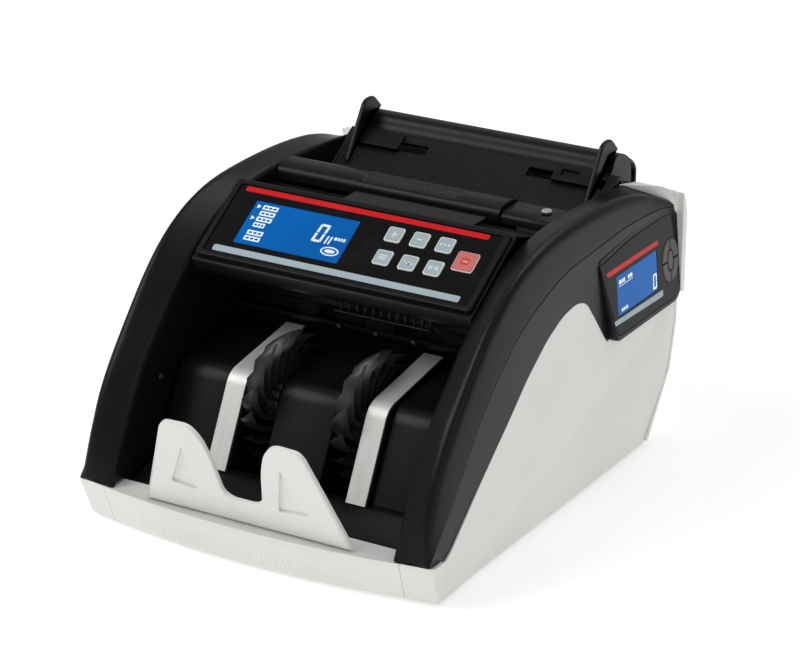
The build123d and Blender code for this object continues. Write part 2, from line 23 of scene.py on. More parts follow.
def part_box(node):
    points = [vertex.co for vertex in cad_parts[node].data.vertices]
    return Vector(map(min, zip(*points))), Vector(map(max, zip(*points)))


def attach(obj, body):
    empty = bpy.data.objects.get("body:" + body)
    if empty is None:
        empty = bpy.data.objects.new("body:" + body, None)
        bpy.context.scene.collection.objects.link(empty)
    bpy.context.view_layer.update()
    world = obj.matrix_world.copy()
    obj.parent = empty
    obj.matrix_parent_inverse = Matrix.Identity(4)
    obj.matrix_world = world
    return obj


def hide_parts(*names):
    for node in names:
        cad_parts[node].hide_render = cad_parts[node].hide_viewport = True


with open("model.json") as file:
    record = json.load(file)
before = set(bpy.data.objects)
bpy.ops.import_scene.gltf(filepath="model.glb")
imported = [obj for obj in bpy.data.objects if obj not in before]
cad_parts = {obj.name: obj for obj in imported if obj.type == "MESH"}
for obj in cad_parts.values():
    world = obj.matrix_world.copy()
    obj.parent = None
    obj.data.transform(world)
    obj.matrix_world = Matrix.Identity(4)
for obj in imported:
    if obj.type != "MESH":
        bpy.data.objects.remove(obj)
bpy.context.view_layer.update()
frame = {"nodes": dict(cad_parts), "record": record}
LOG = logging.getLogger("counter")
Array = np.ndarray

BASE_BACK = 135.0          # the frame's origin lies this far behind the base's front corners
FOOT_LIFT = 2.0            # the base hangs this far above the table
INNER = 97.0               # inside faces of the two arches
CREASE_X = 121.8           # widest line of the side walls
BASE_EDGE = 119.0          # the side walls never lean in past this
LIP_TOP = 26.0             # height of the front ledge
PANEL_TILT = 32.4
POD_TILT = 5.0
TRAY_TILT = 33.0


# ------------------------------------------------------------------------------ curves and planes
def spline(points: Sequence[Sequence[float]], count: int) -> Array:
    """A smooth line through points, in even steps of length.

    A natural cubic spline over the chord lengths, whose second derivatives solve one linear
    system, sampled densely and then spaced evenly along its own length.

    Args:
        points: the points that the line passes through.
        count: how many points to return.

    Returns:
        The points, one row each.
    """
    p = np.asarray(points, float)
    h = np.linalg.norm(np.diff(p, axis=0), axis=1)
    t = np.concatenate([[0.0], np.cumsum(h)])
    n = len(p)
    system = np.eye(n)
    inner = np.arange(1, n - 1)
    system[inner, inner - 1] = h[:-1]
    system[inner, inner] = 2 * (h[:-1] + h[1:])
    system[inner, inner + 1] = h[1:]
    slope = np.diff(p, axis=0) / h[:, None]
    right = np.zeros_like(p)
    right[1:-1] = 6 * np.diff(slope, axis=0)
    second = np.linalg.solve(system, right)
    u = np.linspace(0, t[-1], 24 * n)
    i = np.clip(np.searchsorted(t, u, side="right") - 1, 0, n - 2)
    a, b, w = (t[i + 1] - u)[:, None], (u - t[i])[:, None], h[i][:, None]
    dense = ((second[i] * a ** 3 + second[i + 1] * b ** 3) / (6 * w)
             + (p[i] / w - second[i] * w / 6) * a + (p[i + 1] / w - second[i + 1] * w / 6) * b)
    return even(dense, count)


def even(points: Array, count: int) -> Array:
    """Respaces a run of points evenly along its length, by straight interpolation."""
    p = np.asarray(points, float)
    length = np.concatenate([[0.0], np.cumsum(np.linalg.norm(np.diff(p, axis=0), axis=1))])
    at = np.linspace(0, length[-1], count)
    return np.stack([np.interp(at, length, p[:, k]) for k in range(p.shape[1])], axis=1)


def rounded(points: Array, radius: float | Sequence[float], steps: int = 6,
            closed: bool = True) -> Array:
    """Rounds the corners of outlines.

    Each corner is cut back along both of its sides, by at most 0.48 of the side, and replaced by
    the parabola that touches them: (1-t)^2 A + 2t(1-t) P + t^2 B.

    Args:
        points: corners on the last axis but one; earlier axes are separate outlines.
        radius: how far to cut back, for all corners or for each.
        steps: points on each rounded corner.
        closed: whether the last corner joins the first.

    Returns:
        The rounded outlines, with steps points for each corner.
    """
    p = np.asarray(points, float)
    before, after = np.roll(p, 1, -2), np.roll(p, -1, -2)
    if not closed:
        before[..., 0, :], after[..., -1, :] = p[..., 0, :], p[..., -1, :]
    cut = np.broadcast_to(np.asarray(radius, float), p.shape[:-1])
    to_a, to_b = before - p, after - p
    len_a = np.linalg.norm(to_a, axis=-1, keepdims=True)
    len_b = np.linalg.norm(to_b, axis=-1, keepdims=True)
    short = np.minimum(np.where(len_a > 0, len_a, np.inf), np.where(len_b > 0, len_b, np.inf))
    reach = np.minimum(cut[..., None], 0.48 * short)
    a = p + to_a / np.maximum(len_a, 1e-9) * reach
    b = p + to_b / np.maximum(len_b, 1e-9) * reach
    t = np.linspace(0, 1, steps)[:, None]
    arc = ((1 - t) ** 2 * a[..., None, :] + 2 * t * (1 - t) * p[..., None, :]
           + t ** 2 * b[..., None, :])
    return arc.reshape(*p.shape[:-2], -1, p.shape[-1])


def sideways(points: Array, closed: bool = True) -> Array:
    """Mitred directions to the right of a plane outline, so that adding them widens it by one."""
    p = np.asarray(points, float)
    before, after = np.roll(p, 1, 0), np.roll(p, -1, 0)
    if not closed:
        before[0], after[-1] = 2 * p[0] - p[1], 2 * p[-1] - p[-2]
    runs = [d / np.maximum(np.linalg.norm(d, axis=1, keepdims=True), 1e-9)
            for d in (p - before, after - p)]
    one, two = (np.stack([d[:, 1], -d[:, 0]], axis=1) for d in runs)
    return (one + two) / np.maximum(1 + np.sum(one * two, axis=1, keepdims=True), 0.35)


def anticlockwise(outline: Array) -> Array:
    """The outline, turned round if its signed area is negative."""
    x, y = np.asarray(outline, float).T
    area = np.sum(x * np.roll(y, -1) - y * np.roll(x, -1))
    return np.asarray(outline, float)[::1 if area > 0 else -1]


def ribbon(line: Array, thickness: float) -> Array:
    """A closed outline: an open line and the same line moved sideways to the right."""
    line = np.asarray(line, float)
    return np.concatenate([line, (line + thickness * sideways(line, closed=False))[::-1]])


def rectangle(x0: float, x1: float, y0: float, y1: float, corner: float = 0.0) -> Array:
    """A rectangle between two corners, with its corners rounded."""
    return rounded([(x0, y0), (x1, y0), (x1, y1), (x0, y1)], corner)


def ellipse(x: float, y: float, wide: float, tall: float, count: int = 48) -> Array:
    """An ellipse round a centre from its two half sizes."""
    a = np.linspace(0, 2 * np.pi, count, endpoint=False)
    return np.stack([x + wide * np.cos(a), y + tall * np.sin(a)], axis=1)


@dataclass(frozen=True)
class Plane:
    """A working plane in side-view space: its origin and its three directions."""

    origin: tuple[float, float, float]
    across: tuple[float, float, float]
    along: tuple[float, float, float]
    out: tuple[float, float, float]

    def place(self, points: Array) -> Array:
        """Local points to X, back and up."""
        return np.asarray(self.origin) + np.asarray(points) @ np.array(
            [self.across, self.along, self.out], float)

    def lift(self, outline: Array, height: float | Array) -> Array:
        """A plane outline placed at a height above the plane."""
        outline = np.asarray(outline, float)
        level = np.broadcast_to(height, outline.shape[:-1])[..., None]
        return self.place(np.concatenate([outline, level], axis=-1))


def tilted(origin: tuple[float, float, float], degrees: float) -> Plane:
    """A plane whose local x is X and whose local y climbs to the rear by some degrees."""
    c, s = math.cos(math.radians(degrees)), math.sin(math.radians(degrees))
    return Plane(origin, (1, 0, 0), (0, c, s), (0, -s, c))


SIDE = Plane((0, 0, 0), (0, 1, 0), (0, 0, 1), (1, 0, 0))
LEVEL = Plane((0, 0, 0), (1, 0, 0), (0, 1, 0), (0, 0, 1))
PANEL = tilted((0, 83.1, 149.0), PANEL_TILT)
TRAY = tilted((0, 203.0, 134.0), TRAY_TILT)
LEAN = math.radians(POD_TILT)
POD = Plane((121.7, 240, 120), (0, 1, 0), (-math.sin(LEAN), 0, math.cos(LEAN)),
            (math.cos(LEAN), 0, math.sin(LEAN)))
FINS = Plane((0, -12.5, 26.1), (1, 0, 0), (0, -16.7 / 59.108, 56.7 / 59.108),
             (0, -56.7 / 59.108, -16.7 / 59.108))


# ------------------------------------------------------------------------------------------ shapes
class Form:
    """A shape gathered from grids of points; it becomes one piece."""

    def __init__(self) -> None:
        """Starts empty."""
        self.points: list[Array] = []
        self.faces: list[list[int]] = []
        self.count = 0

    def add(self, points: Array, faces: Iterable[Sequence[int]]) -> None:
        """Adds points and faces numbered from the first of them."""
        points = np.asarray(points, float).reshape(-1, 3)
        self.points.append(points)
        self.faces += [[i + self.count for i in face] for face in faces]
        self.count += len(points)

    def grid(self, rows: Array, round_: bool = True, caps: bool = True) -> "Form":
        """Adds a skin over a grid: neighbours in a row and in a column share a face.

        Args:
            rows: points by row, column and axis.
            round_: whether each row closes on itself.
            caps: whether the first and last rows are filled, when the rows close.

        Returns:
            The form itself.
        """
        n, m = rows.shape[:2]
        index = np.arange(n * m).reshape(n, m)
        beside = np.roll(index, -1, 1) if round_ else index[:, 1:]
        here = index if round_ else index[:, :-1]
        quads = np.stack([here[:-1], beside[:-1], beside[1:], here[1:]], -1).reshape(-1, 4)
        faces = quads.tolist()
        if round_ and caps:
            faces += [index[0, ::-1].tolist(), index[-1].tolist()]
        self.add(rows, faces)
        return self

    def slab(self, outline: Array, low: float, high: float, plane: Plane, edge: float = 0.3,
             holes: Sequence[Array] = (), sink: float | None = None, steps: int = 3) -> "Form":
        """Adds a plate with rounded rims, pierced or sunk by holes.

        The rim is a quarter circle at each face: at angle a the outline has shrunk by
        edge (1 - sin a) and stands edge (1 - cos a) inside the face.  One more ring on each face
        keeps the rim's shading off the flat.

        Args:
            outline: the plate's outline on the plane.
            low: height of its underside.
            high: height of its top.
            plane: the working plane.
            edge: radius of both rims.
            holes: outlines of openings in it.
            sink: depth of the holes as hollows in the top; None cuts them through.
            steps: points on each rim's quarter circle.

        Returns:
            The form itself.
        """
        outline = anticlockwise(outline)
        wide = sideways(outline)
        a = np.linspace(0, np.pi / 2, steps + 1)
        shrink = edge * (1 - np.sin(a))
        guard = 1.3 * edge
        inset = np.concatenate([[guard], shrink, shrink[::-1], [guard]])
        bend = edge * (1 - np.cos(a))
        level = np.concatenate([[low], low + bend, (high - bend)[::-1], [high]])
        rows = plane.lift(outline[None] - inset[:, None, None] * wide[None], level[:, None])
        if not holes:
            return self.grid(rows)
        self.grid(rows, caps=False)
        for height, row in ((low, rows[0]), (high, rows[-1])):
            if height == low and sink is not None:
                self.add(row, [range(len(row))])
                continue
            rims = [plane.lift(hole, height) for hole in holes]
            self.filled([row, *rims])
        for hole in holes:
            floor = low if sink is None else high - sink
            walls = np.stack([plane.lift(hole, high), plane.lift(hole, floor)])
            self.grid(walls, caps=False)
            if sink is not None:
                self.add(walls[1], [range(len(hole))])
        return self

    def filled(self, loops: Sequence[Array]) -> None:
        """Adds the flat face between an outer loop and its holes, as triangles."""
        triangles = tessellate_polygon([[Vector(p) for p in loop] for loop in loops])
        self.add(np.concatenate(loops), triangles)

    def turned(self, profile: Array, centre: Sequence[float], plane: Plane,
               count: int = 32) -> "Form":
        """Adds a turned shape: each radius and height of a profile, swept round a centre."""
        a = np.linspace(0, 2 * np.pi, count, endpoint=False)
        radius, height = np.asarray(profile, float).T
        ring = np.stack([np.cos(a), np.sin(a)], -1)
        outline = np.asarray(centre, float) + radius[:, None, None] * ring[None]
        return self.grid(plane.lift(outline, height[:, None]))

    def piece(self, name: str, body: str, finish: "Slot", replaces: Sequence[str] = (),
              sharp: float = 38.0) -> bpy.types.Object:
        """Makes the piece: merges doubles, turns faces outward and dresses it.

        Args:
            name: the piece's name.
            body: the body of the frame that it rides on.
            finish: its material slot.
            replaces: nodes of the frame that it stands for.
            sharp: edges that bend by more than these degrees stay crisp.

        Returns:
            The object.
        """
        points = np.concatenate(self.points) + (0, -BASE_BACK, FOOT_LIFT)
        mesh = bpy.data.meshes.new(name)
        mesh.from_pydata(points / 1000.0, [], self.faces)
        work = bmesh.new()
        work.from_mesh(mesh)
        bmesh.ops.remove_doubles(work, verts=work.verts, dist=2e-6)
        bmesh.ops.dissolve_degenerate(work, edges=work.edges, dist=1e-6)
        bmesh.ops.recalc_face_normals(work, faces=work.faces)
        work.to_mesh(mesh)
        work.free()
        return finish_piece(mesh, name, body, finish, replaces, sharp)


def finish_piece(mesh: bpy.types.Mesh, name: str, body: str, finish: "Slot",
                 replaces: Sequence[str], sharp: float) -> bpy.types.Object:
    """Puts a mesh in the scene as a dressed piece on a body of the frame."""
    mesh.shade_smooth()
    mesh.set_sharp_from_angle(angle=math.radians(sharp))
    mesh.materials.clear()
    mesh.materials.append(finish.material())
    made = bpy.data.objects.new(name, mesh)
    bpy.context.scene.collection.objects.link(made)
    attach(made, body)
    if replaces:
        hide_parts(*replaces)
    LOG.info("%s: %d faces on %s", name, len(mesh.polygons), body)
    return made


def softened(node: str, body: str, finish: "Slot", width: float = 0.5) -> bpy.types.Object:
    """A merged copy of a node of the frame with its edges rounded by a bevel, in its place."""
    mesh = frame["nodes"][node].data.copy()
    work = bmesh.new()
    work.from_mesh(mesh)
    bmesh.ops.remove_doubles(work, verts=work.verts, dist=2e-6)
    bmesh.ops.dissolve_limit(work, angle_limit=math.radians(2), verts=work.verts,
                             edges=work.edges)
    work.to_mesh(mesh)
    work.free()
    made = finish_piece(mesh, f"{node}_finished", body, finish, [node], 38)
    bevel = made.modifiers.new("rounded edges", "BEVEL")
    bevel.width, bevel.segments = width / 1000.0, 2
    bevel.limit_method, bevel.angle_limit = "ANGLE", math.radians(35)
    return made


# --------------------------------------------------------------------------------------- materials
class Sock:
    """A node's output that can be used in Python expressions; each operator adds a Math node."""

    def __init__(self, recipe: "Recipe", socket: bpy.types.NodeSocket) -> None:
        """Wraps a socket of a recipe."""
        self.recipe, self.socket = recipe, socket

    def out(self, name: str) -> "Sock":
        """Another output of the same node."""
        return Sock(self.recipe, self.socket.node.outputs[name])

    def maths(self, operation: str, *values: Any) -> "Sock":
        """A Math node on these values."""
        return self.recipe.node("ShaderNodeMath", {"operation": operation},
                                dict(enumerate(values)))

    def __add__(self, other: Any) -> "Sock":
        """Sum."""
        return self.maths("ADD", self, other)

    def __radd__(self, other: Any) -> "Sock":
        """Reflected sum."""
        return self.maths("ADD", other, self)

    def __sub__(self, other: Any) -> "Sock":
        """Difference."""
        return self.maths("SUBTRACT", self, other)

    def __rsub__(self, other: Any) -> "Sock":
        """Reflected difference."""
        return self.maths("SUBTRACT", other, self)

    def __mul__(self, other: Any) -> "Sock":
        """Product."""
        return self.maths("MULTIPLY", self, other)

    def between(self, low: float, high: float) -> "Sock":
        """Nought below low, one above high and straight between."""
        return self.recipe.node("ShaderNodeMapRange", {"clamp": True},
                                {0: self, 1: low, 2: high, 3: 0.0, 4: 1.0})


class Recipe:
    """A material being wired: its one node method and the shorthands built on it."""

    def __init__(self, name: str) -> None:
        """Makes an empty material with its output."""
        self.material = bpy.data.materials.new(name)
        self.material.use_nodes = True
        self.tree = self.material.node_tree
        self.tree.nodes.clear()
        self.place = self.node("ShaderNodeTexCoord").out("Object")

    def node(self, kind: str, settings: dict[str, Any] | None = None,
             values: dict[int | str, Any] | None = None) -> Sock:
        """Adds one node.

        Args:
            kind: the node's type.
            settings: properties of the node, set first.
            values: numbers, vectors, colours or sockets for its inputs.

        Returns:
            Its first shown output.
        """
        made = self.tree.nodes.new(kind)
        for key, value in (settings or {}).items():
            setattr(made, key, value)
        for key, value in (values or {}).items():
            if isinstance(value, Sock):
                self.tree.links.new(value.socket, made.inputs[key])
            else:
                made.inputs[key].default_value = value
        shown = [s for s in made.outputs if s.enabled]
        return Sock(self, shown[0]) if shown else Sock(self, made.inputs[0])

    def noise(self, scale: float, detail: float = 2.0,
              stretch: tuple[float, float, float] | None = None) -> Sock:
        """Cloudy noise, in features per metre, stretched by a mapping where asked."""
        at = self.place
        if stretch:
            at = self.node("ShaderNodeMapping", {}, {"Vector": self.place, "Scale": stretch})
        return self.node("ShaderNodeTexNoise", {}, {"Vector": at, "Scale": scale,
                                                    "Detail": detail})

    def blend(self, factor: Any, one: Sequence[float] | Sock, two: Sequence[float] | Sock) -> Sock:
        """A mix of two colours."""
        return self.node("ShaderNodeMix", {"data_type": "RGBA"},
                         {0: factor, 6: opaque(one), 7: opaque(two)})

    def bump(self, height: Sock, depth: float, strength: float = 1.0) -> Sock:
        """A bump of some depth in metres."""
        return self.node("ShaderNodeBump", {}, {"Height": height, "Distance": depth,
                                                "Strength": strength})

    def surface(self, **values: Any) -> bpy.types.Material:
        """Ends the material with its one shader; names are the shader's inputs."""
        shader = self.node("ShaderNodeBsdfPrincipled", {},
                           {key.replace("_", " "): value for key, value in values.items()})
        self.node("ShaderNodeOutputMaterial", {}, {"Surface": shader})
        return self.material


def opaque(colour: Sequence[float] | Sock) -> Any:
    """A colour with its alpha, or the socket as it is."""
    return colour if isinstance(colour, Sock) else (*colour[:3], 1.0)


def shade(colour: Sequence[float], by: float) -> tuple[float, ...]:
    """A colour made lighter or darker by a factor."""
    return tuple(min(1.0, c * by) for c in colour)


@dataclass(frozen=True)
class Moulded:
    """Injection-moulded plastic: fine spark-erosion grain, cloudy gloss and faint scuffs."""

    colour: tuple[float, float, float]
    roughness: float = 0.42
    grain: float = 1500.0
    depth: float = 0.00003
    scuffs: float = 0.25
    shine: float = 0.5

    def build(self, name: str) -> bpy.types.Material:
        """Wires the material."""
        r = Recipe(name)
        cloud, patch = r.noise(14, 3), r.noise(90, 4)
        scratch = r.noise(55, 5, (1.0, 0.12, 1.0)).between(0.66, 0.74)
        rubbed = scratch * patch.between(0.45, 0.7) * self.scuffs
        tone = r.blend(cloud, shade(self.colour, 0.93), shade(self.colour, 1.06))
        colour = r.blend(rubbed, tone, shade([c + 0.03 for c in self.colour], 1.25))
        rough = self.roughness + (patch - 0.5) * 0.10 + rubbed * 0.12
        grain = r.noise(self.grain, 1)
        return r.surface(Base_Color=colour, Roughness=rough, Specular_IOR_Level=self.shine,
                         Normal=r.bump(grain, self.depth, 0.5))


@dataclass(frozen=True)
class Film:
    """Printed polyester film over the panel: glossy, with a shallow orange peel."""

    colour: tuple[float, float, float]
    roughness: float = 0.16
    shine: float = 0.14

    def build(self, name: str) -> bpy.types.Material:
        """Wires the material."""
        r = Recipe(name)
        smear = r.noise(45, 4).between(0.5, 0.8)
        tone = r.blend(smear, self.colour, shade([c + 0.004 for c in self.colour], 1.1))
        return r.surface(Base_Color=tone, Roughness=self.roughness + smear * 0.07,
                         Specular_IOR_Level=self.shine,
                         Normal=r.bump(r.noise(420, 1), 0.00001, 0.35))


@dataclass(frozen=True)
class Lit:
    """A lit display: glowing colour, a little uneven, with a faint grid of dots."""

    colour: tuple[float, float, float]
    glow: float
    dots: float = 0.05

    def build(self, name: str) -> bpy.types.Material:
        """Wires the material."""
        r = Recipe(name)
        uneven = r.noise(18, 2)
        mesh = r.node("ShaderNodeTexVoronoi", {"feature": "F1"},
                      {"Vector": r.place, "Scale": 1800.0, "Randomness": 0.0})
        dim = mesh.between(0.35, 0.6) * self.dots
        tone = r.blend(uneven.between(0.3, 0.7), shade(self.colour, 0.88),
                       shade(self.colour, 1.08))
        colour = r.blend(dim, tone, shade(self.colour, 0.3))
        unlit = r.blend(0.78, colour, (0.0, 0.0, 0.0))
        return r.surface(Base_Color=unlit, Emission_Color=colour, Emission_Strength=self.glow,
                         Roughness=0.16 + r.noise(60, 3) * 0.08, Specular_IOR_Level=0.1)


@dataclass(frozen=True)
class Paper:
    """A seamless studio sheet: matt, faintly mottled and lifted by a little light of its own."""

    colour: tuple[float, float, float]
    glow: float

    def build(self, name: str) -> bpy.types.Material:
        """Wires the material."""
        r = Recipe(name)
        tone = r.blend(r.noise(3, 2), shade(self.colour, 0.99), shade(self.colour, 1.01))
        return r.surface(Base_Color=tone, Emission_Color=tone, Emission_Strength=self.glow,
                         Roughness=0.7, Specular_IOR_Level=0.3)


@dataclass(frozen=True)
class Metal:
    """Brushed or turned metal: streaks along one axis in its tone, gloss and relief."""

    colour: tuple[float, float, float]
    roughness: float = 0.3
    streak: tuple[float, float, float] = (60.0, 1.0, 1.0)
    metallic: float = 1.0

    def build(self, name: str) -> bpy.types.Material:
        """Wires the material."""
        r = Recipe(name)
        line = r.noise(26, 4, self.streak)
        stain = r.noise(35, 3).between(0.45, 0.75)
        tone = r.blend(line, shade(self.colour, 0.82), shade(self.colour, 1.12))
        colour = r.blend(stain * 0.35, tone, shade(self.colour, 0.72))
        return r.surface(Base_Color=colour, Metallic=self.metallic,
                         Roughness=self.roughness + (line - 0.5) * 0.16 + stain * 0.08,
                         Normal=r.bump(line, 0.00002, 0.6))


@dataclass(frozen=True)
class Rubber:
    """Rubber or soft blade plastic: matt, ground along its run, dusty in places."""

    colour: tuple[float, float, float]
    roughness: float = 0.7
    dust: float = 0.25

    def build(self, name: str) -> bpy.types.Material:
        """Wires the material."""
        r = Recipe(name)
        ground = r.noise(700, 3, (1.0, 0.3, 0.3))
        dusty = r.noise(70, 5).between(0.48, 0.72) * self.dust
        colour = r.blend(dusty, self.colour, (0.16, 0.155, 0.14))
        return r.surface(Base_Color=colour, Roughness=self.roughness + dusty * 0.4,
                         Normal=r.bump(ground, 0.00006, 0.6))


@dataclass(frozen=True)
class Board:
    """A printed circuit board: green mask with paler tracks in cells and bright solder dots."""

    colour: tuple[float, float, float]

    def build(self, name: str) -> bpy.types.Material:
        """Wires the material."""
        r = Recipe(name)
        cells = r.node("ShaderNodeTexVoronoi", {"feature": "DISTANCE_TO_EDGE",
                                                "voronoi_dimensions": "3D"},
                       {"Vector": r.place, "Scale": 170.0, "Randomness": 0.6})
        track = 1 - cells.between(0.03, 0.06)
        dots = r.node("ShaderNodeTexVoronoi", {"feature": "F1"},
                      {"Vector": r.place, "Scale": 260.0, "Randomness": 0.4})
        solder = 1 - dots.between(0.16, 0.22)
        green = r.blend(track, self.colour, shade(self.colour, 1.9))
        colour = r.blend(solder, green, (0.62, 0.62, 0.60))
        return r.surface(Base_Color=colour, Metallic=solder * 0.9, Roughness=0.35 - solder * 0.1,
                         Normal=r.bump(track + solder, 0.00008, 0.6))


@dataclass(frozen=True)
class Laminated:
    """A stack of thin iron sheets: dark lines every half millimetre along X, with rust bloom."""

    colour: tuple[float, float, float]

    def build(self, name: str) -> bpy.types.Material:
        """Wires the material."""
        r = Recipe(name)
        lines = r.node("ShaderNodeTexWave", {"wave_type": "BANDS", "bands_direction": "X"},
                       {"Vector": r.place, "Scale": 320.0, "Distortion": 0.4})
        bloom = r.noise(60, 5).between(0.5, 0.8)
        tone = r.blend(lines, shade(self.colour, 0.5), shade(self.colour, 1.2))
        colour = r.blend(bloom * 0.5, tone, (0.16, 0.085, 0.05))
        return r.surface(Base_Color=colour, Metallic=0.55, Roughness=0.55 + bloom * 0.2,
                         Normal=r.bump(lines, 0.00015, 0.8))


class Slot(Enum):
    """The material slots of the record, and extra print colours that share one of them."""

    WHITE = "white"
    BLACK = "black"
    GLOSS_BLACK = "gloss_black"
    OVERLAY = "overlay"
    DISPLAY = "display"
    GREY_KEY = "grey_key"
    RED_KEY = "red_key"
    PAD_KEY = "pad_key"
    STEEL = "steel"
    RUBBER = "rubber"
    BLADE = "blade"
    BOARD = "board"
    MOTOR = "motor"
    BEARING = "bearing"
    LAMP = "lamp"
    IRON = "iron"

    def material(self) -> bpy.types.Material:
        """The slot's material, made when first asked for."""
        return dressed(f"finish_{self.value}", FINISHES[self])


FINISHES: dict[Slot, Any] = {
    Slot.WHITE: Moulded((0.79, 0.78, 0.76), 0.42, scuffs=0.12),
    Slot.BLACK: Moulded((0.0060, 0.0056, 0.0057), 0.33, depth=0.00004, scuffs=0.16, shine=0.17),
    Slot.GLOSS_BLACK: Moulded((0.0025, 0.0025, 0.0027), 0.12, depth=0.00001, scuffs=0.06,
                              shine=0.1),
    Slot.OVERLAY: Film((0.0040, 0.0038, 0.0040)),
    Slot.DISPLAY: Lit((0.0, 0.112, 0.42), 0.82),
    Slot.GREY_KEY: Moulded((0.34, 0.43, 0.46), 0.45, scuffs=0.1),
    Slot.RED_KEY: Moulded((0.56, 0.055, 0.045), 0.42, scuffs=0.1),
    Slot.PAD_KEY: Moulded((0.095, 0.092, 0.088), 0.45, scuffs=0.2, shine=0.25),
    Slot.STEEL: Metal((0.62, 0.61, 0.60), 0.32, (60.0, 1.0, 1.0)),
    Slot.RUBBER: Rubber((0.022, 0.022, 0.023), 0.62),
    Slot.BLADE: Rubber((0.012, 0.016, 0.016), 0.36, 0.12),
    Slot.BOARD: Board((0.012, 0.085, 0.035)),
    Slot.MOTOR: Metal((0.34, 0.34, 0.35), 0.42, (50.0, 1.0, 1.0)),
    Slot.BEARING: Metal((0.55, 0.36, 0.15), 0.38, (1.0, 40.0, 1.0)),
    Slot.LAMP: Lit((0.35, 0.30, 0.62), 0.25, 0.0),
    Slot.IRON: Laminated((0.16, 0.15, 0.145)),
}
RED_PRINT = Film((0.62, 0.012, 0.016), 0.28)
PALE_PRINT = Film((0.38, 0.47, 0.52), 0.35)
MARK_PRINT = Lit((0.78, 0.89, 0.95), 0.85, 0.0)
KEY_RIM = Moulded((0.74, 0.76, 0.76), 0.4, scuffs=0.05)
PINK_PRINT = Film((0.72, 0.42, 0.40), 0.4)
DARK_STEEL = Metal((0.10, 0.10, 0.105), 0.34)
SATIN_STEEL = Metal((0.74, 0.73, 0.71), 0.42, metallic=0.35)
SHELF = Paper((0.86, 0.86, 0.855), 0.42)
MADE: dict[str, bpy.types.Material] = {}


def dressed(name: str, finish: Any) -> bpy.types.Material:
    """A finish's material, made once under its name."""
    if name not in MADE:
        MADE[name] = finish.build(name)
    return MADE[name]


def recolour(made: bpy.types.Object, name: str, finish: Any) -> bpy.types.Object:
    """Gives a piece a finish that isn't a slot's own."""
    made.data.materials[0] = dressed(name, finish)
    return made


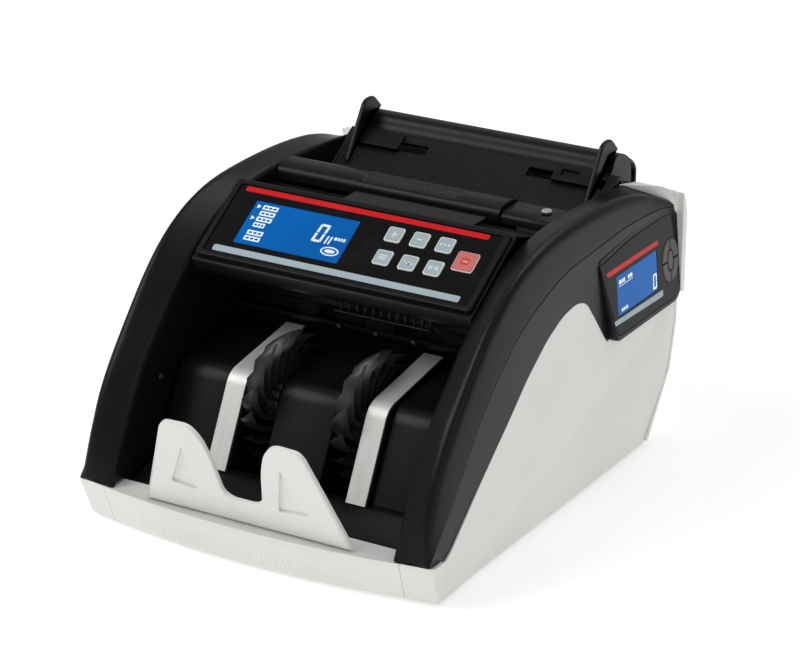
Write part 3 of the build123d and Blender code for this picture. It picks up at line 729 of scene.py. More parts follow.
# ----------------------------------------------------------------------------------------- casing
@dataclass
class Casing:
    """The white shell, the two black arches, the front ledge and the back."""

    ridge_x: float = 120.5
    edge_x: float = 119.6
    wall: float = 2.6
    stations: int = 120
    groove: tuple = (0.15, 0.6)
    valley: float = 2.6
    valley_above: float = 14.0
    valley_below: float = 30.0
    inner_edge: tuple = ((-11.6, 26.2), (-6, 40), (8.5, 66), (22, 89), (44, 112.5), (59, 127.5),
                         (82, 145), (116, 164.5), (156, 172.5), (205, 172.5), (261.5, 168.5))
    crest: tuple = ((-11, 28), (-2.4, 66), (32, 115.4), (74, 156), (116, 174.2), (156, 177.8),
                    (205, 176.5), (245, 170.5), (270, 162), (288.5, 153.8))
    ridge: tuple = ((-11, 27.2), (3, 43), (21.5, 64), (51.5, 101), (72.5, 119), (90.5, 132),
                    (113.5, 142), (143.5, 151), (190, 154.6), (217, 156), (250, 155.2),
                    (275, 152.6), (292.6, 148.6))
    seam_front: tuple = ((-11, 26.4), (5, 22.5), (14, 27.5), (46, 54), (81, 81), (104, 100.5),
                         (128, 116.5), (147, 124.5))
    seam_left: tuple = ((170, 131), (205, 141), (262, 146), (292.3, 143))
    seam_right: tuple = ((164, 127), (177, 123.5), (186, 112.5), (203, 89.5), (292.3, 89))
    crease: tuple = ((-40, -22), (49, 6), (91, 19), (141, 33), (192, 50), (251, 67), (310, 89))
    rear: tuple = ((258.6, 0.3), (287.7, 41), (294.9, 70.5), (294.9, 141.0))
    riser: tuple = ((97.4, 262.6, 160.0, 167.4), (107.8, 276.6, 154.0, 164.0),
                    (117.0, 288.6, 148.5, 160.4), (121.2, 294.2, 144.0, 156.8))
    cheek_foot: tuple = ((261.5, 138), (153, 62), (150, 4), (4.8, 4), (4.8, 27.2), (-8.5, 27.2))

    def seam(self, side: int) -> Array:
        """The line between black and white on one side, with only its sharp turns rounded."""
        tail = self.seam_left if side < 0 else self.seam_right
        cut = [6.0] * len(self.seam_front) + ([8.0] * 4 if side < 0 else [7.0, 9.0, 6.0, 4.0, 1.0])
        return rounded(np.array(self.seam_front + tail), cut, 7, closed=False)

    def arch(self, side: int) -> bpy.types.Object:
        """One black arch.

        Its cross-section at each station is the rounded line through these corners: the inner
        wall's foot, the inner edge, the crest, the two lips and the bottom of the groove along
        the side bevel, and the seam with the white wall.  The groove deepens towards the rear.
        The inside is the same line moved in by the wall.
        """
        n = self.stations
        inner, crest, ridge = (spline(line, n) for line in
                               (self.inner_edge, self.crest, self.ridge))
        seam = even(self.seam(side), n)
        run = np.gradient(inner, axis=0)
        run /= np.linalg.norm(run, axis=1, keepdims=True)
        under = np.stack([run[:, 1], -run[:, 0]], axis=1)
        foot = inner + 9.0 * under * np.minimum(1, np.linspace(0.3, 8, n))[:, None]
        groove = np.linspace(*self.groove, n)
        lips = 0.7 * under * (1 - np.linspace(1, 0, n)[:, None] ** 8)
        corners = [(INNER, foot), (INNER, inner), (117.6, crest), (self.ridge_x, ridge - lips),
                   (self.ridge_x - groove, ridge), (self.ridge_x, ridge + lips),
                   (self.edge_x, seam)]
        section = np.stack([np.column_stack([np.broadcast_to(x, n), line])
                            for x, line in corners], 1)
        outer = rounded(section, [0, 4.0, 9.0, 0.4, 0.2, 0.4, 0], 7, closed=False)
        thin = np.clip(outer[..., :1], INNER + self.wall, self.edge_x - self.wall)
        hollow = np.concatenate([thin, outer[..., 1:] + self.wall * under[:, None]], axis=-1)
        rows = np.concatenate([outer, hollow[:, ::-1]], axis=1)
        form = Form().grid(rows * (side, 1, 1))
        name = "left_arch" if side < 0 else "right_arch"
        if side > 0:
            self.pod(form)
        self.cheek(form, side, inner)
        return form.piece(f"{name}_shell", "machine", Slot.BLACK, [name], 30)

    def cheek(self, form: Form, side: int, inner: Array) -> None:
        """The flat wall beside the stacker, under the arch's inner edge."""
        top = inner[3:] + (0.4, -2.0)
        outline = np.concatenate([top, np.array(self.cheek_foot)])
        x = sorted((side * (INNER + 0.2), side * (INNER + 2.8)))
        form.slab(outline, x[0], x[1], SIDE, 0.25)

    def pod(self, form: Form) -> None:
        """The bulge round the side display: a rounded frame sunk for the panel."""
        outline = rounded([(-50.5, 25.5), (-31.5, -33.2), (51, -33.2), (57.6, -27), (57.6, 25.5),
                           (40, 31), (-10, 31)], [3, 5, 5, 4, 6, 9, 14], 8)
        sunk = self.pod_panel(0.5)
        form.slab(outline, -7.5, 1.36, POD, 1.6, [sunk], 3.3, 5)

    @staticmethod
    def pod_panel(grow: float) -> Array:
        """The side display panel's outline, made larger by a gap."""
        base = rounded([(-49, 21.6), (-30, -29.2), (47.5, -29.2), (53.0, -23), (53.0, 23.6),
                        (38, 27), (-11, 26.6)], [2, 3, 3, 3, 5, 6, 12], 6)
        base = anticlockwise(base)
        return base + grow * sideways(base)

    def side_wall(self, side: int) -> bpy.types.Object:
        """One white side wall and its front corner.

        The wall is a Coons patch between its seam, its foot, its front and its rear edge:
        (1-w) seam + w foot + (1-s) front + s rear, less the bilinear patch of the corners.  It
        leans in above the slanting crease, and the crease is the bottom of a shallow valley that
        dies away exponentially on both sides and fades out at the front and at the rear edge.
        """
        n, m = 150, 64
        rear = np.array(self.rear)
        seam = self.seam(side)
        seam = seam[seam[:, 0] > 4.0] - (0, 0.25)
        if side > 0:
            seam = np.concatenate([seam[seam[:, 0] < 202.6], [(203.4, 88.6), (294.9, 88.6)]])
            rear = np.array([*self.rear[:3], (294.9, 88.6)])
        else:
            seam = np.concatenate([seam[:-1], [self.rear[-1]]])
        start = np.array([(0.6, LIP_TOP - 0.2)])
        top = even(np.concatenate([start, seam]), n)
        foot = even(np.array([(0.6, 0.3), rear[0]]), n)
        front = even(np.array([top[0], foot[0]]), m)
        back = even(rear[::-1], m)
        s, w = np.linspace(0, 1, n)[:, None, None], np.linspace(0, 1, m)[None, :, None]
        flat = ((1 - w) * top[:, None] + w * foot[:, None] + (1 - s) * front[None] + s * back[None]
                - (1 - s) * (1 - w) * top[0] - (1 - s) * w * foot[0]
                - s * (1 - w) * top[-1] - s * w * foot[-1])
        line = np.array(self.crease)
        over = flat[..., 1] - np.interp(flat[..., 0], line[:, 0], line[:, 1])
        soft = np.sqrt(over ** 2 + 2.0)
        depth = self.valley * np.exp(-np.maximum(over, 0) / self.valley_above
                                     + np.minimum(over, 0) / self.valley_below)
        depth *= np.clip(flat[..., 0] / 60.0, 0, 1) * np.clip((292 - flat[..., 0]) / 25.0, 0, 1)
        x = CREASE_X - 0.036 * np.minimum((soft + over) / 2, 66) - depth \
            - 1.3 * np.clip(1 - flat[..., 1] / 26.0, 0, 1)
        x = np.maximum(x, BASE_EDGE - 1.0)
        outer = np.concatenate([x[..., None], flat], axis=-1)
        inside = outer - (self.wall, 0, 0)
        rows = np.concatenate([outer, inside[:, ::-1]], axis=1)
        form = Form().grid(rows * (side, 1, 1))
        corner = self.lip_rows(np.linspace(100.6, 120.0, 30), ribs=False)
        form.grid(corner * (side, 1, 1))
        name = "left_side_shell" if side < 0 else "right_side_shell"
        return form.piece(f"{name}_wall", "machine", Slot.WHITE, [name], 26)

    def lip_rows(self, across: Array, ribs: bool) -> Array:
        """Sections of the bowed front ledge.

        At height u the face stands at e + (m - e)(1 - (x/120)^2), where its ends e and its
        middle m both move forward as it rises; low ribs follow a cosine of X.

        Args:
            across: X of each section, at the foot.
            ribs: whether the middle carries its fine upright ribs.

        Returns:
            Closed sections, one row for each X.
        """
        up = np.array([0.2, 2.6, 3.4, 4.2, 7, 10, 13, 16.4, 17.4, 18.2, 20.5, 23, LIP_TOP])
        ends, middle = -10.2 * up / LIP_TOP, -13.2 - 9.3 * up / LIP_TOP
        bow = (1 - (across[:, None] / 120.0) ** 2)
        face = ends + (middle - ends) * bow
        if ribs:
            zone = np.clip((78 - np.abs(across[:, None])) / 1.5, 0, 1)
            tall = np.where((up > 3.6) & (up < 17.2), 1.0, 0.0)
            face = face + 0.42 * zone * tall * (0.5 + 0.5 * np.cos(across[:, None] * 2 * np.pi / 3))
        spread = 1 + 0.015 * up / LIP_TOP
        x = across[:, None] * spread
        skin = np.stack([x, face, np.broadcast_to(up, x.shape)], axis=-1)
        top = skin[:, -1]
        ledge = np.stack([top + (0, 1.6, 0.0), top + (0, 3.4, -0.9)], axis=1)
        back = np.stack([np.column_stack([across * spread[-1], np.full(len(across), 3.9),
                                          np.full(len(across), LIP_TOP - 0.9)]),
                         np.column_stack([across, np.full(len(across), 3.9),
                                          np.full(len(across), 0.2)])], axis=1)
        skin[:, -1, 1] += 0.9
        return np.concatenate([skin, ledge, back], axis=1)

    def lip(self) -> bpy.types.Object:
        """The white front ledge with its fine ribs."""
        rows = self.lip_rows(np.linspace(-100.3, 100.3, 536), ribs=True)
        return Form().grid(rows).piece("front_ledge", "machine", Slot.WHITE, ["front_lip"], 30)

    def risers(self) -> bpy.types.Object:
        """The low white walls that close the step from each arch up to the rear cover."""
        path = np.array(self.riser)
        path = even(path, 24)
        form = Form()
        for side in (-1, 1):
            low, high = path[:, [0, 1, 2]], path[:, [0, 1, 3]]
            behind = np.array([-1.0, 1.3, 0.0])
            rows = np.stack([low, high, high + behind, low + behind], axis=1) * (side, 1, 1)
            form.grid(rows)
        return form.piece("corner_risers", "machine", Slot.WHITE)

    def build(self) -> None:
        """Makes every casing piece."""
        for side in (-1, 1):
            self.arch(side)
            self.side_wall(side)
        self.risers()
        self.lip()
        softened("rear_cover", "machine", Slot.WHITE, 1.2)


# ---------------------------------------------------------------------------------------- stacker
@dataclass
class Stacker:
    """Where the counted notes stand: twin fins, dark blocks, steel strips and paddle wheels."""

    fin: tuple = ((71, 0), (49, 60.5), (45.5, 64.2), (28.5, 65), (21.5, 57), (17, 43), (13.5, 20),
                  (8, 16.3))
    fin_cuts: tuple = (1.0, 5.0, 4.0, 7.0, 7.0, 6.0, 5.0, 6.0)
    hollow_left: tuple = ((-36.5, 47.5), (-49.5, 18.8), (-31.0, 16.6))
    hollow_right: tuple = ((31.0, 48.5), (24.0, 16.2), (46.0, 18.0))
    blades: int = 18
    hub: tuple = (74.0, 66.0)
    wheel_x: tuple = (-37.3, -24.7, 24.7, 37.3)

    def stop_plate(self) -> bpy.types.Object:
        """The twin fins: one plate with a hollow triangle sunk in each fin."""
        half = np.array(self.fin)
        cuts = np.array(self.fin_cuts)
        points = np.concatenate([half, (half * (-1, 1))[::-1]])
        outline = rounded(points, np.concatenate([cuts, cuts[::-1]]), 7)
        hollows = [rounded(h, 2.2, 5) for h in (self.hollow_left, self.hollow_right)]
        form = Form().slab(outline, -3.4, 0.0, FINS, 0.9, hollows, 1.7, 4)
        return form.piece("twin_fins", "machine", Slot.WHITE, ["stop_plate"], 32)

    def blocks(self) -> bpy.types.Object:
        """The dark blocks behind the notes, each with a rounded shoulder, and their floor."""
        low = rounded([(31.5, 3.4), (31.5, 34), (58.5, 84.8), (120.3, 91.2), (120.3, 3.4)],
                      [0.5, 0.5, 9.0, 0.5, 0.5], 10)
        high = rounded([(27.5, 3.4), (27.5, 33.3), (54.3, 85.35), (118.2, 95.0), (120.3, 3.4)],
                       [0.5, 0.5, 7.0, 0.5, 0.5], 10)
        form = Form()
        for x0, x1, outline in ((-92.9, -56.6, low), (-20, 20, low), (56.6, 92.9, low),
                                (-56.2, -41, high), (41, 56.2, high)):
            form.slab(outline, x0, x1, SIDE, 1.1)
        floor = [(4.7, 22.9), (4.7, 25.7), (27.5, 33.2), (34, 33.2), (34, 30.4), (27.8, 30.4)]
        form.slab(rounded(floor, 0.4, 3), -92.9, 92.9, SIDE, 0.3)
        return form.piece("note_blocks", "machine", Slot.BLACK, ["stacker_block"], 32)

    def strips(self) -> bpy.types.Object:
        """The two folded steel strips that the notes slide down."""
        line = rounded([(26.9, 34), (53.67, 86.08), (117.5, 95.7)], [0, 7.5, 0], 10, closed=False)
        form = Form()
        for x0 in (-55.2, 42.0):
            form.slab(ribbon(line, 0.7), x0, x0 + 13.2, SIDE, 0.12, steps=1)
        made = form.piece("steel_strips", "machine", Slot.STEEL, ["note_strips"], 40)
        return recolour(made, "satin_steel", SATIN_STEEL)

    def wheels(self) -> bpy.types.Object:
        """The two paddle wheels.

        A blade is swept from the hub to the rim: at fraction t it lies at angle -lag t^1.3 and
        thins outwards.  Its length grows with the share of the width already crossed, which
        cuts the tip to a slanted point, and it twists a little along the axle.
        """
        form = Form()
        t = np.linspace(0, 1, 12)[:, None]
        lag = np.radians(-52) * t ** 1.3
        for x0, x1 in (self.wheel_x[:2], self.wheel_x[2:]):
            x = np.linspace(x0, x1, 9)[None]
            share = (x - x0) / (x1 - x0)
            radius = 14.5 + (29.2 - 7.5 * (1 - share) ** 1.6) * t
            edge = 0.55 * (1 - 0.6 * t) / radius
            for turn in np.arange(self.blades) * 2 * np.pi / self.blades:
                angle = turn + lag + np.radians(14.0) * (1 - share) * t
                loops = [np.stack([np.broadcast_to(x, radius.shape),
                                   self.hub[0] + radius * np.cos(angle + k * edge),
                                   self.hub[1] + radius * np.sin(angle + k * edge)], -1)
                         for k in (-1, 1)]
                form.grid(np.concatenate([loops[0], loops[1][:, ::-1]], axis=1))
            rim = [(13.0, x0), (15.4, x0), (16.0, x0 + 0.6), (16.0, x1 - 0.6), (15.4, x1),
                   (13.0, x1)]
            form.turned(np.array(rim), self.hub, SIDE)
        return form.piece("paddle_wheels", "wheel_spinner", Slot.BLADE, ["stacker_wheels"], 45)

    def exit_comb(self) -> bpy.types.Object:
        """The row of hooked teeth and the thin rod under the head."""
        tooth = rounded([(113.2, 126), (109.6, 121), (108.9, 113), (110.4, 112.6), (111.2, 119.4),
                         (114.4, 124)], 1.2, 4)
        form = Form().slab(rectangle(112.6, 114.8, 121.5, 126, 0.5), -14, 52, SIDE, 0.3)
        for x in -12 + 5.6 * np.arange(12):
            form.slab(tooth, x, x + 2.2, SIDE, 0.35)
        return form.piece("comb_teeth", "machine", Slot.BLACK, ["exit_comb"], 35)

    def rod(self) -> bpy.types.Object:
        """The thin wire in front of the comb."""
        profile = np.array([(0.3, -14.0), (0.5, -13.8), (0.5, 51.8), (0.3, 52.0)])
        form = Form().turned(profile, (106.8, 115.5), SIDE, 16)
        return recolour(form.piece("comb_wire", "machine", Slot.STEEL), "dark_steel", DARK_STEEL)

    def build(self) -> None:
        """Makes every stacker piece."""
        self.stop_plate()
        self.blocks()
        self.strips()
        self.wheels()
        self.exit_comb()
        self.rod()
        softened("throat_plate", "machine", Slot.BLACK, 0.5)


# ------------------------------------------------------------------------------- panel and its keys
class Mark(Enum):
    """The plain sign on a key."""

    PLUS = "plus"
    MINUS = "minus"
    DOTS = "dots"
    STACK = "stack"
    WAVE = "wave"
    POLES = "poles"
    FRAMES = "frames"


KEY_MARKS: dict[str, Mark] = {
    "key_plus": Mark.PLUS, "key_minus": Mark.MINUS, "key_batch": Mark.DOTS,
    "key_add": Mark.STACK, "key_uv": Mark.WAVE, "key_magnetic": Mark.POLES,
    "key_restart": Mark.FRAMES}


def digit_zero(x: float, y: float, wide: float, tall: float, stroke: float,
               slant: float) -> list[Array]:
    """Six mitred segments of a display's nought, slanted by a fraction of the height."""
    g = 0.22 * stroke
    bar = [(g, 0), (wide - g, 0), (wide - stroke, stroke), (stroke, stroke)]
    post = [(0, g), (stroke, stroke + g * 0.2), (stroke, tall / 2 - g), (0, tall / 2 - g)]
    flip = [np.array(bar), np.array(post)]
    parts = [flip[0], flip[0] * (1, -1) + (0, tall), flip[1], flip[1] * (-1, 1) + (wide, 0),
             flip[1] * (1, -1) + (0, tall), flip[1] * (-1, -1) + (wide, tall)]
    return [anticlockwise(np.column_stack([p[:, 0] + slant * p[:, 1] + x, p[:, 1] + y]))
            for p in parts]


@dataclass
class Head:
    """The tilted head: its housing, the printed panel, the display and seven keys."""

    window: tuple = (-75.0, -2.0, 8.1, 40.9)
    rows: tuple = ((-68.6, 35.2, 10.6), (-68.6, 30.7, 10.6), (-68.6, 26.2, 10.6),
                   (-68.6, 21.7, 8.0), (-69.6, 15.6, 11.0), (-69.6, 11.2, 11.0))

    def housing(self) -> bpy.types.Object:
        """The black head under the panel, a folded sheet from arch to arch."""
        line = rounded([(118.5, 113), (118.5, 126.5), (110, 129.5), (79, 134), (76.6, 142.7),
                        (79.86, 144.2), (132.2, 177.2), (134.7, 166.2), (170.5, 163.1)],
                       [0, 2, 6, 3.5, 3.0, 0.6, 0.8, 2.0, 0], 6, closed=False)
        form = Form().slab(ribbon(line, 2.3), -96.7, 96.7, SIDE, 0.5)
        return form.piece("head_cover", "machine", Slot.BLACK, ["head_housing"], 32)

    def bezel(self) -> bpy.types.Object:
        """The satin frame round the panel."""
        outline = rectangle(-95.3, 95.3, -5.6, 54.0, 3.0)
        form = Form().slab(outline, -3.3, 0.8, PANEL, 0.8, [rectangle(-91.3, 91.3, -2.6, 50.6, 2)])
        return form.piece("panel_frame", "machine", Slot.BLACK, ["panel_bezel"], 32)

    def overlay(self) -> bpy.types.Object:
        """The glossy printed film, with a window and an opening for each key."""
        openings = [rectangle(-75.3, -1.7, 7.8, 41.2, 1.2)]
        for name in KEY_MARKS:
            x, v, half = key_place(name)
            reach = half + 0.35
            openings.append(rectangle(x - reach, x + reach, v - reach, v + reach, 2.2))
        form = Form().slab(rectangle(-91.1, 91.1, -2.4, 50.4, 1.6), -1.2, 0.0, PANEL, 0.12,
                           openings, steps=1)
        return form.piece("panel_film", "machine", Slot.OVERLAY, ["panel_overlay"], 30)

    def prints(self) -> None:
        """The red and the pale band printed on the film."""
        red = rectangle(-86.5, 82.5, 46.0, 49.9, 1.4)
        pale = rectangle(-85.5, 84.8, -0.9, 3.7, 1.4)
        for name, outline, finish in (("red_band", red, RED_PRINT),
                                      ("pale_band", pale, PALE_PRINT)):
            form = Form().slab(outline, -0.02, 0.14, PANEL, 0.05, steps=1)
            recolour(form.piece(name, "machine", Slot.OVERLAY), f"print_{name}", finish)

    def display(self) -> None:
        """The blue display and its pale signs: six blocks, two arrows, a nought and an oval."""
        form = Form().slab(rectangle(*self.window, 0.8), -3.2, -0.2, PANEL, 0.15, steps=1)
        form.piece("main_screen", "machine", Slot.DISPLAY, ["main_display"])
        signs = Form()
        high = -0.09
        for x, v, wide in self.rows:
            block = rectangle(x, x + wide, v, v + 3.3, 0.3)
            cuts = [rectangle(x + f * wide, x + f * wide + 0.22 * wide, v + 0.9, v + 2.4, 0.2)
                    for f in (0.1, 0.39, 0.68)]
            signs.slab(block, -0.22, high, PANEL, 0.03, cuts, steps=1)
        for v in (36.9, 27.9):
            signs.slab(anticlockwise([(-72.6, v - 1.5), (-69.9, v), (-72.6, v + 1.5)]), -0.22,
                       high, PANEL, 0.03, steps=1)
        for segment in digit_zero(-26.5, 20.2, 6.8, 13.6, 1.65, 0.10):
            signs.slab(segment, -0.22, high, PANEL, 0.03, steps=1)
        for x in (-17.4, -14.9):
            signs.slab(anticlockwise([(x, 20.2), (x + 1.1, 20.2), (x + 1.7, 26.0),
                                      (x + 0.6, 26.0)]), -0.22, high, PANEL, 0.03, steps=1)
        for x, wide in ((-12.0, 1.9), (-9.5, 1.3), (-7.6, 1.0), (-6.0, 1.6)):
            signs.slab(rectangle(x, x + wide, 23.9, 26.1, 0.3), -0.22, high, PANEL, 0.03, steps=1)
        signs.slab(ellipse(-10.6, 15.4, 6.2, 3.3), -0.22, high, PANEL, 0.03,
                   [ellipse(-10.6, 15.4, 5.2, 2.4)], steps=1)
        signs.slab(ellipse(-10.6, 15.4, 3.6, 1.3), -0.22, high, PANEL, 0.03, steps=1)
        recolour(signs.piece("main_screen_signs", "machine", Slot.DISPLAY), "screen_signs",
                 MARK_PRINT)

    def key(self, name: str, mark: Mark) -> None:
        """One soft key: a pale cushion, its coloured top and its plain sign."""
        x, v, half = key_place(name)
        slot = Slot.RED_KEY if mark is Mark.FRAMES else Slot.GREY_KEY
        rim = Form().slab(square(x, v, half, 1.9), -2.5, 0.52, PANEL, 0.45)
        recolour(rim.piece(f"{name}_rim", name, slot, [name]), "key_rim", KEY_RIM)
        inset = 0.45 if mark is Mark.FRAMES else 0.7
        top = Form().slab(square(x, v, half - inset, 1.6), 0.2, 0.66, PANEL, 0.14)
        top.piece(f"{name}_top", name, slot)
        sign = Form()
        for outline, holes in key_sign(mark, x, v, half):
            sign.slab(outline, 0.6, 0.70, PANEL, 0.03, holes, steps=1)
        ink = ("pink_print", PINK_PRINT) if mark is Mark.FRAMES else ("key_rim", KEY_RIM)
        recolour(sign.piece(f"{name}_sign", name, slot), *ink)

    def deck(self) -> bpy.types.Object:
        """The glossy strip in front of the hopper bar."""
        form = Form().slab(rectangle(-36, 56, 139, 168.5, 1.5), 166.7, 168.5, LEVEL, 0.4)
        return form.piece("deck_strip", "machine", Slot.GLOSS_BLACK, ["deck_cover"], 32)

    def build(self) -> None:
        """Makes every piece of the head."""
        self.housing()
        self.bezel()
        self.overlay()
        self.prints()
        self.display()
        for name, mark in KEY_MARKS.items():
            self.key(name, mark)
        self.deck()


def key_place(name: str) -> tuple[float, float, float]:
    """Centre and half size of a key on the panel, from its box in the frame."""
    low, high = (np.array(corner) * 1000 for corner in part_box(name))
    centre = (low + high) / 2 + (0, BASE_BACK, -FOOT_LIFT) - np.array(PANEL.origin)
    return float(centre[0]), float(centre @ np.array(PANEL.along)), float(high[0] - low[0]) / 2


def square(x: float, y: float, half: float, corner: float) -> Array:
    """A square round a centre with rounded corners."""
    return rectangle(x - half, x + half, y - half, y + half, corner)


def key_sign(mark: Mark, x: float, v: float, half: float) -> list[tuple[Array, list[Array]]]:
    """Outlines and holes of a key's sign.

    Args:
        mark: which sign.
        x: the key's centre across.
        v: the key's centre up the panel.
        half: half the key's size.

    Returns:
        Pairs of an outline and the holes in it.
    """
    if mark is Mark.PLUS:
        arm, thick = 2.1, 0.38
        corners = [(-arm, -thick), (-thick, -thick), (-thick, -arm), (thick, -arm),
                   (thick, -thick), (arm, -thick), (arm, thick), (thick, thick), (thick, arm),
                   (-thick, arm), (-thick, thick), (-arm, thick)]
        return [(np.array(corners) + (x, v), [])]
    if mark is Mark.MINUS:
        return [(rectangle(x - 1.8, x + 1.8, v - 0.38, v + 0.38, 0.1), [])]
    if mark is Mark.DOTS:
        return [(ellipse(x + d, v, 0.75, 0.75, 16), []) for d in (-2.6, 0, 2.6)]
    if mark is Mark.STACK:
        return [(rectangle(x - 2.9, x + 2.9, v + d, v + d + 0.7, 0.2), [])
                for d in (-1.75, -0.35, 1.05)]
    if mark is Mark.WAVE:
        t = np.linspace(-2.9, 2.9, 25)
        line = np.column_stack([x + t, v + 0.9 * np.sin(t * 2.2)])
        return [(ribbon(line, 0.7), [])]
    if mark is Mark.POLES:
        return [(square(x + d, v, 1.15, 0.3), [square(x + d, v, 0.5, 0.1)]) for d in (-2, 2)]
    rings = [(square(x, v, s, 0.24 * s), [square(x, v, s - 0.3, 0.24 * s)])
             for s in (0.80 * half, 0.64 * half, 0.48 * half)]
    return rings + [(rectangle(x - 1.6, x + 1.6, v - 0.5, v + 0.5, 0.2), [])]


# ------------------------------------------------------------------------------------- side display
@dataclass
class SidePod:
    """The second display on the right arch: panel, screen, bands and the oval key pad."""

    ring: tuple = (42.6, -3.5)
    wide: float = 11.0
    tall: float = 14.0
    band: float = 6.6
    underside: float = 0.3     # high enough to clear the arch's bevel when a key is pressed
    quarters: tuple = (("pad_key_upper_front", 90, 180), ("pad_key_upper_rear", 0, 90),
                       ("pad_key_lower_front", 180, 270), ("pad_key_lower_rear", 270, 360))

    def panel(self) -> None:
        """The glossy panel with its window and the oval opening."""
        outline = Casing.pod_panel(0.0)
        holes = [rectangle(-29.3, 25.3, -17.3, 8.8, 1.0),
                 ellipse(*self.ring, self.wide + 0.35, self.tall + 0.35, 56)]
        form = Form().slab(outline, 0.0, 1.45, POD, 0.35, holes)
        form.piece("pod_panel", "machine", Slot.GLOSS_BLACK, ["side_bezel"], 30)
        for name, band, finish in (
                ("pod_red_band", [(-40.2, 11.7), (27.4, 11.2), (27.4, 14.3), (-42.2, 15.0)],
                 RED_PRINT),
                ("pod_pale_band", [(-33.6, -21.6), (31.0, -23.6), (31.0, -19.4), (-35.4, -18.3)],
                 PALE_PRINT)):
            form = Form().slab(rounded(band, 1.0), 1.44, 1.5, POD, 0.02, steps=1)
            recolour(form.piece(name, "machine", Slot.OVERLAY), f"print_{name[4:]}", finish)

    def screen(self) -> None:
        """The blue screen and its pale signs."""
        form = Form().slab(rectangle(-29.0, 25.0, -17.0, 8.5, 0.6), -1.6, 1.2, POD, 0.12, steps=1)
        form.piece("pod_screen", "machine", Slot.DISPLAY, ["side_display"])
        signs = Form()
        top = 1.29
        for segment in digit_zero(18.6, -15.6, 5.0, 9.8, 1.15, 0.04):
            signs.slab(segment, 1.18, top, POD, 0.03, steps=1)
        for u, wide in ((-26.0, 3.2), (-22.2, 1.2), (-20.4, 2.2), (-14.2, 2.2), (-11.4, 3.0)):
            signs.slab(rectangle(u, u + wide, 2.6, 5.2, 0.3), 1.18, top, POD, 0.03, steps=1)
        signs.slab(rectangle(-26.4, -7.8, 1.2, 1.6, 0.1), 1.18, top, POD, 0.03, steps=1)
        for u, wide in ((-24.4, 2.2), (-21.6, 1.4), (-19.6, 1.0), (-18.0, 1.8)):
            signs.slab(rectangle(u, u + wide, -15.2, -13.2, 0.3), 1.18, top, POD, 0.03, steps=1)
        recolour(signs.piece("pod_screen_signs", "machine", Slot.DISPLAY), "screen_signs",
                 MARK_PRINT)

    def keys(self) -> None:
        """Four domed quarters of an oval ring and the oval key in their middle.

        A quarter's outline runs out along one ellipse and back along the inner one, between the
        angles where both stand half a millimetre off the axes.
        """
        gap = 0.5
        inner_wide, inner_tall = self.wide - self.band, self.tall - self.band
        for name, start, stop in self.quarters:
            a = np.radians(np.linspace(start, stop, 26))
            outer = np.stack([self.wide * np.cos(a), self.tall * np.sin(a)], 1)
            inner = np.stack([inner_wide * np.cos(a), inner_tall * np.sin(a)], 1)[::-1]
            loop = np.concatenate([outer, inner])
            away = np.radians((start + stop) / 2)
            sign = np.sign([math.cos(away), math.sin(away)])
            loop = sign * np.maximum(loop * sign, gap)
            loop = anticlockwise(even(np.concatenate([loop, loop[:1]]), 72)[:-1])
            form = Form().slab(loop + self.ring, self.underside, 2.1, POD, 0.55)
            form.piece(f"{name}_cap", name, Slot.PAD_KEY, [name], 35)
        hub = ellipse(*self.ring, inner_wide - 2 * gap, inner_tall - 2 * gap, 40)
        form = Form().slab(hub, -0.6, 2.1, POD, 0.6)
        form.piece("pad_key_centre_cap", "pad_key_centre", Slot.PAD_KEY, ["pad_key_centre"], 35)

    def build(self) -> None:
        """Makes every piece of the pod."""
        self.panel()
        self.screen()
        self.keys()


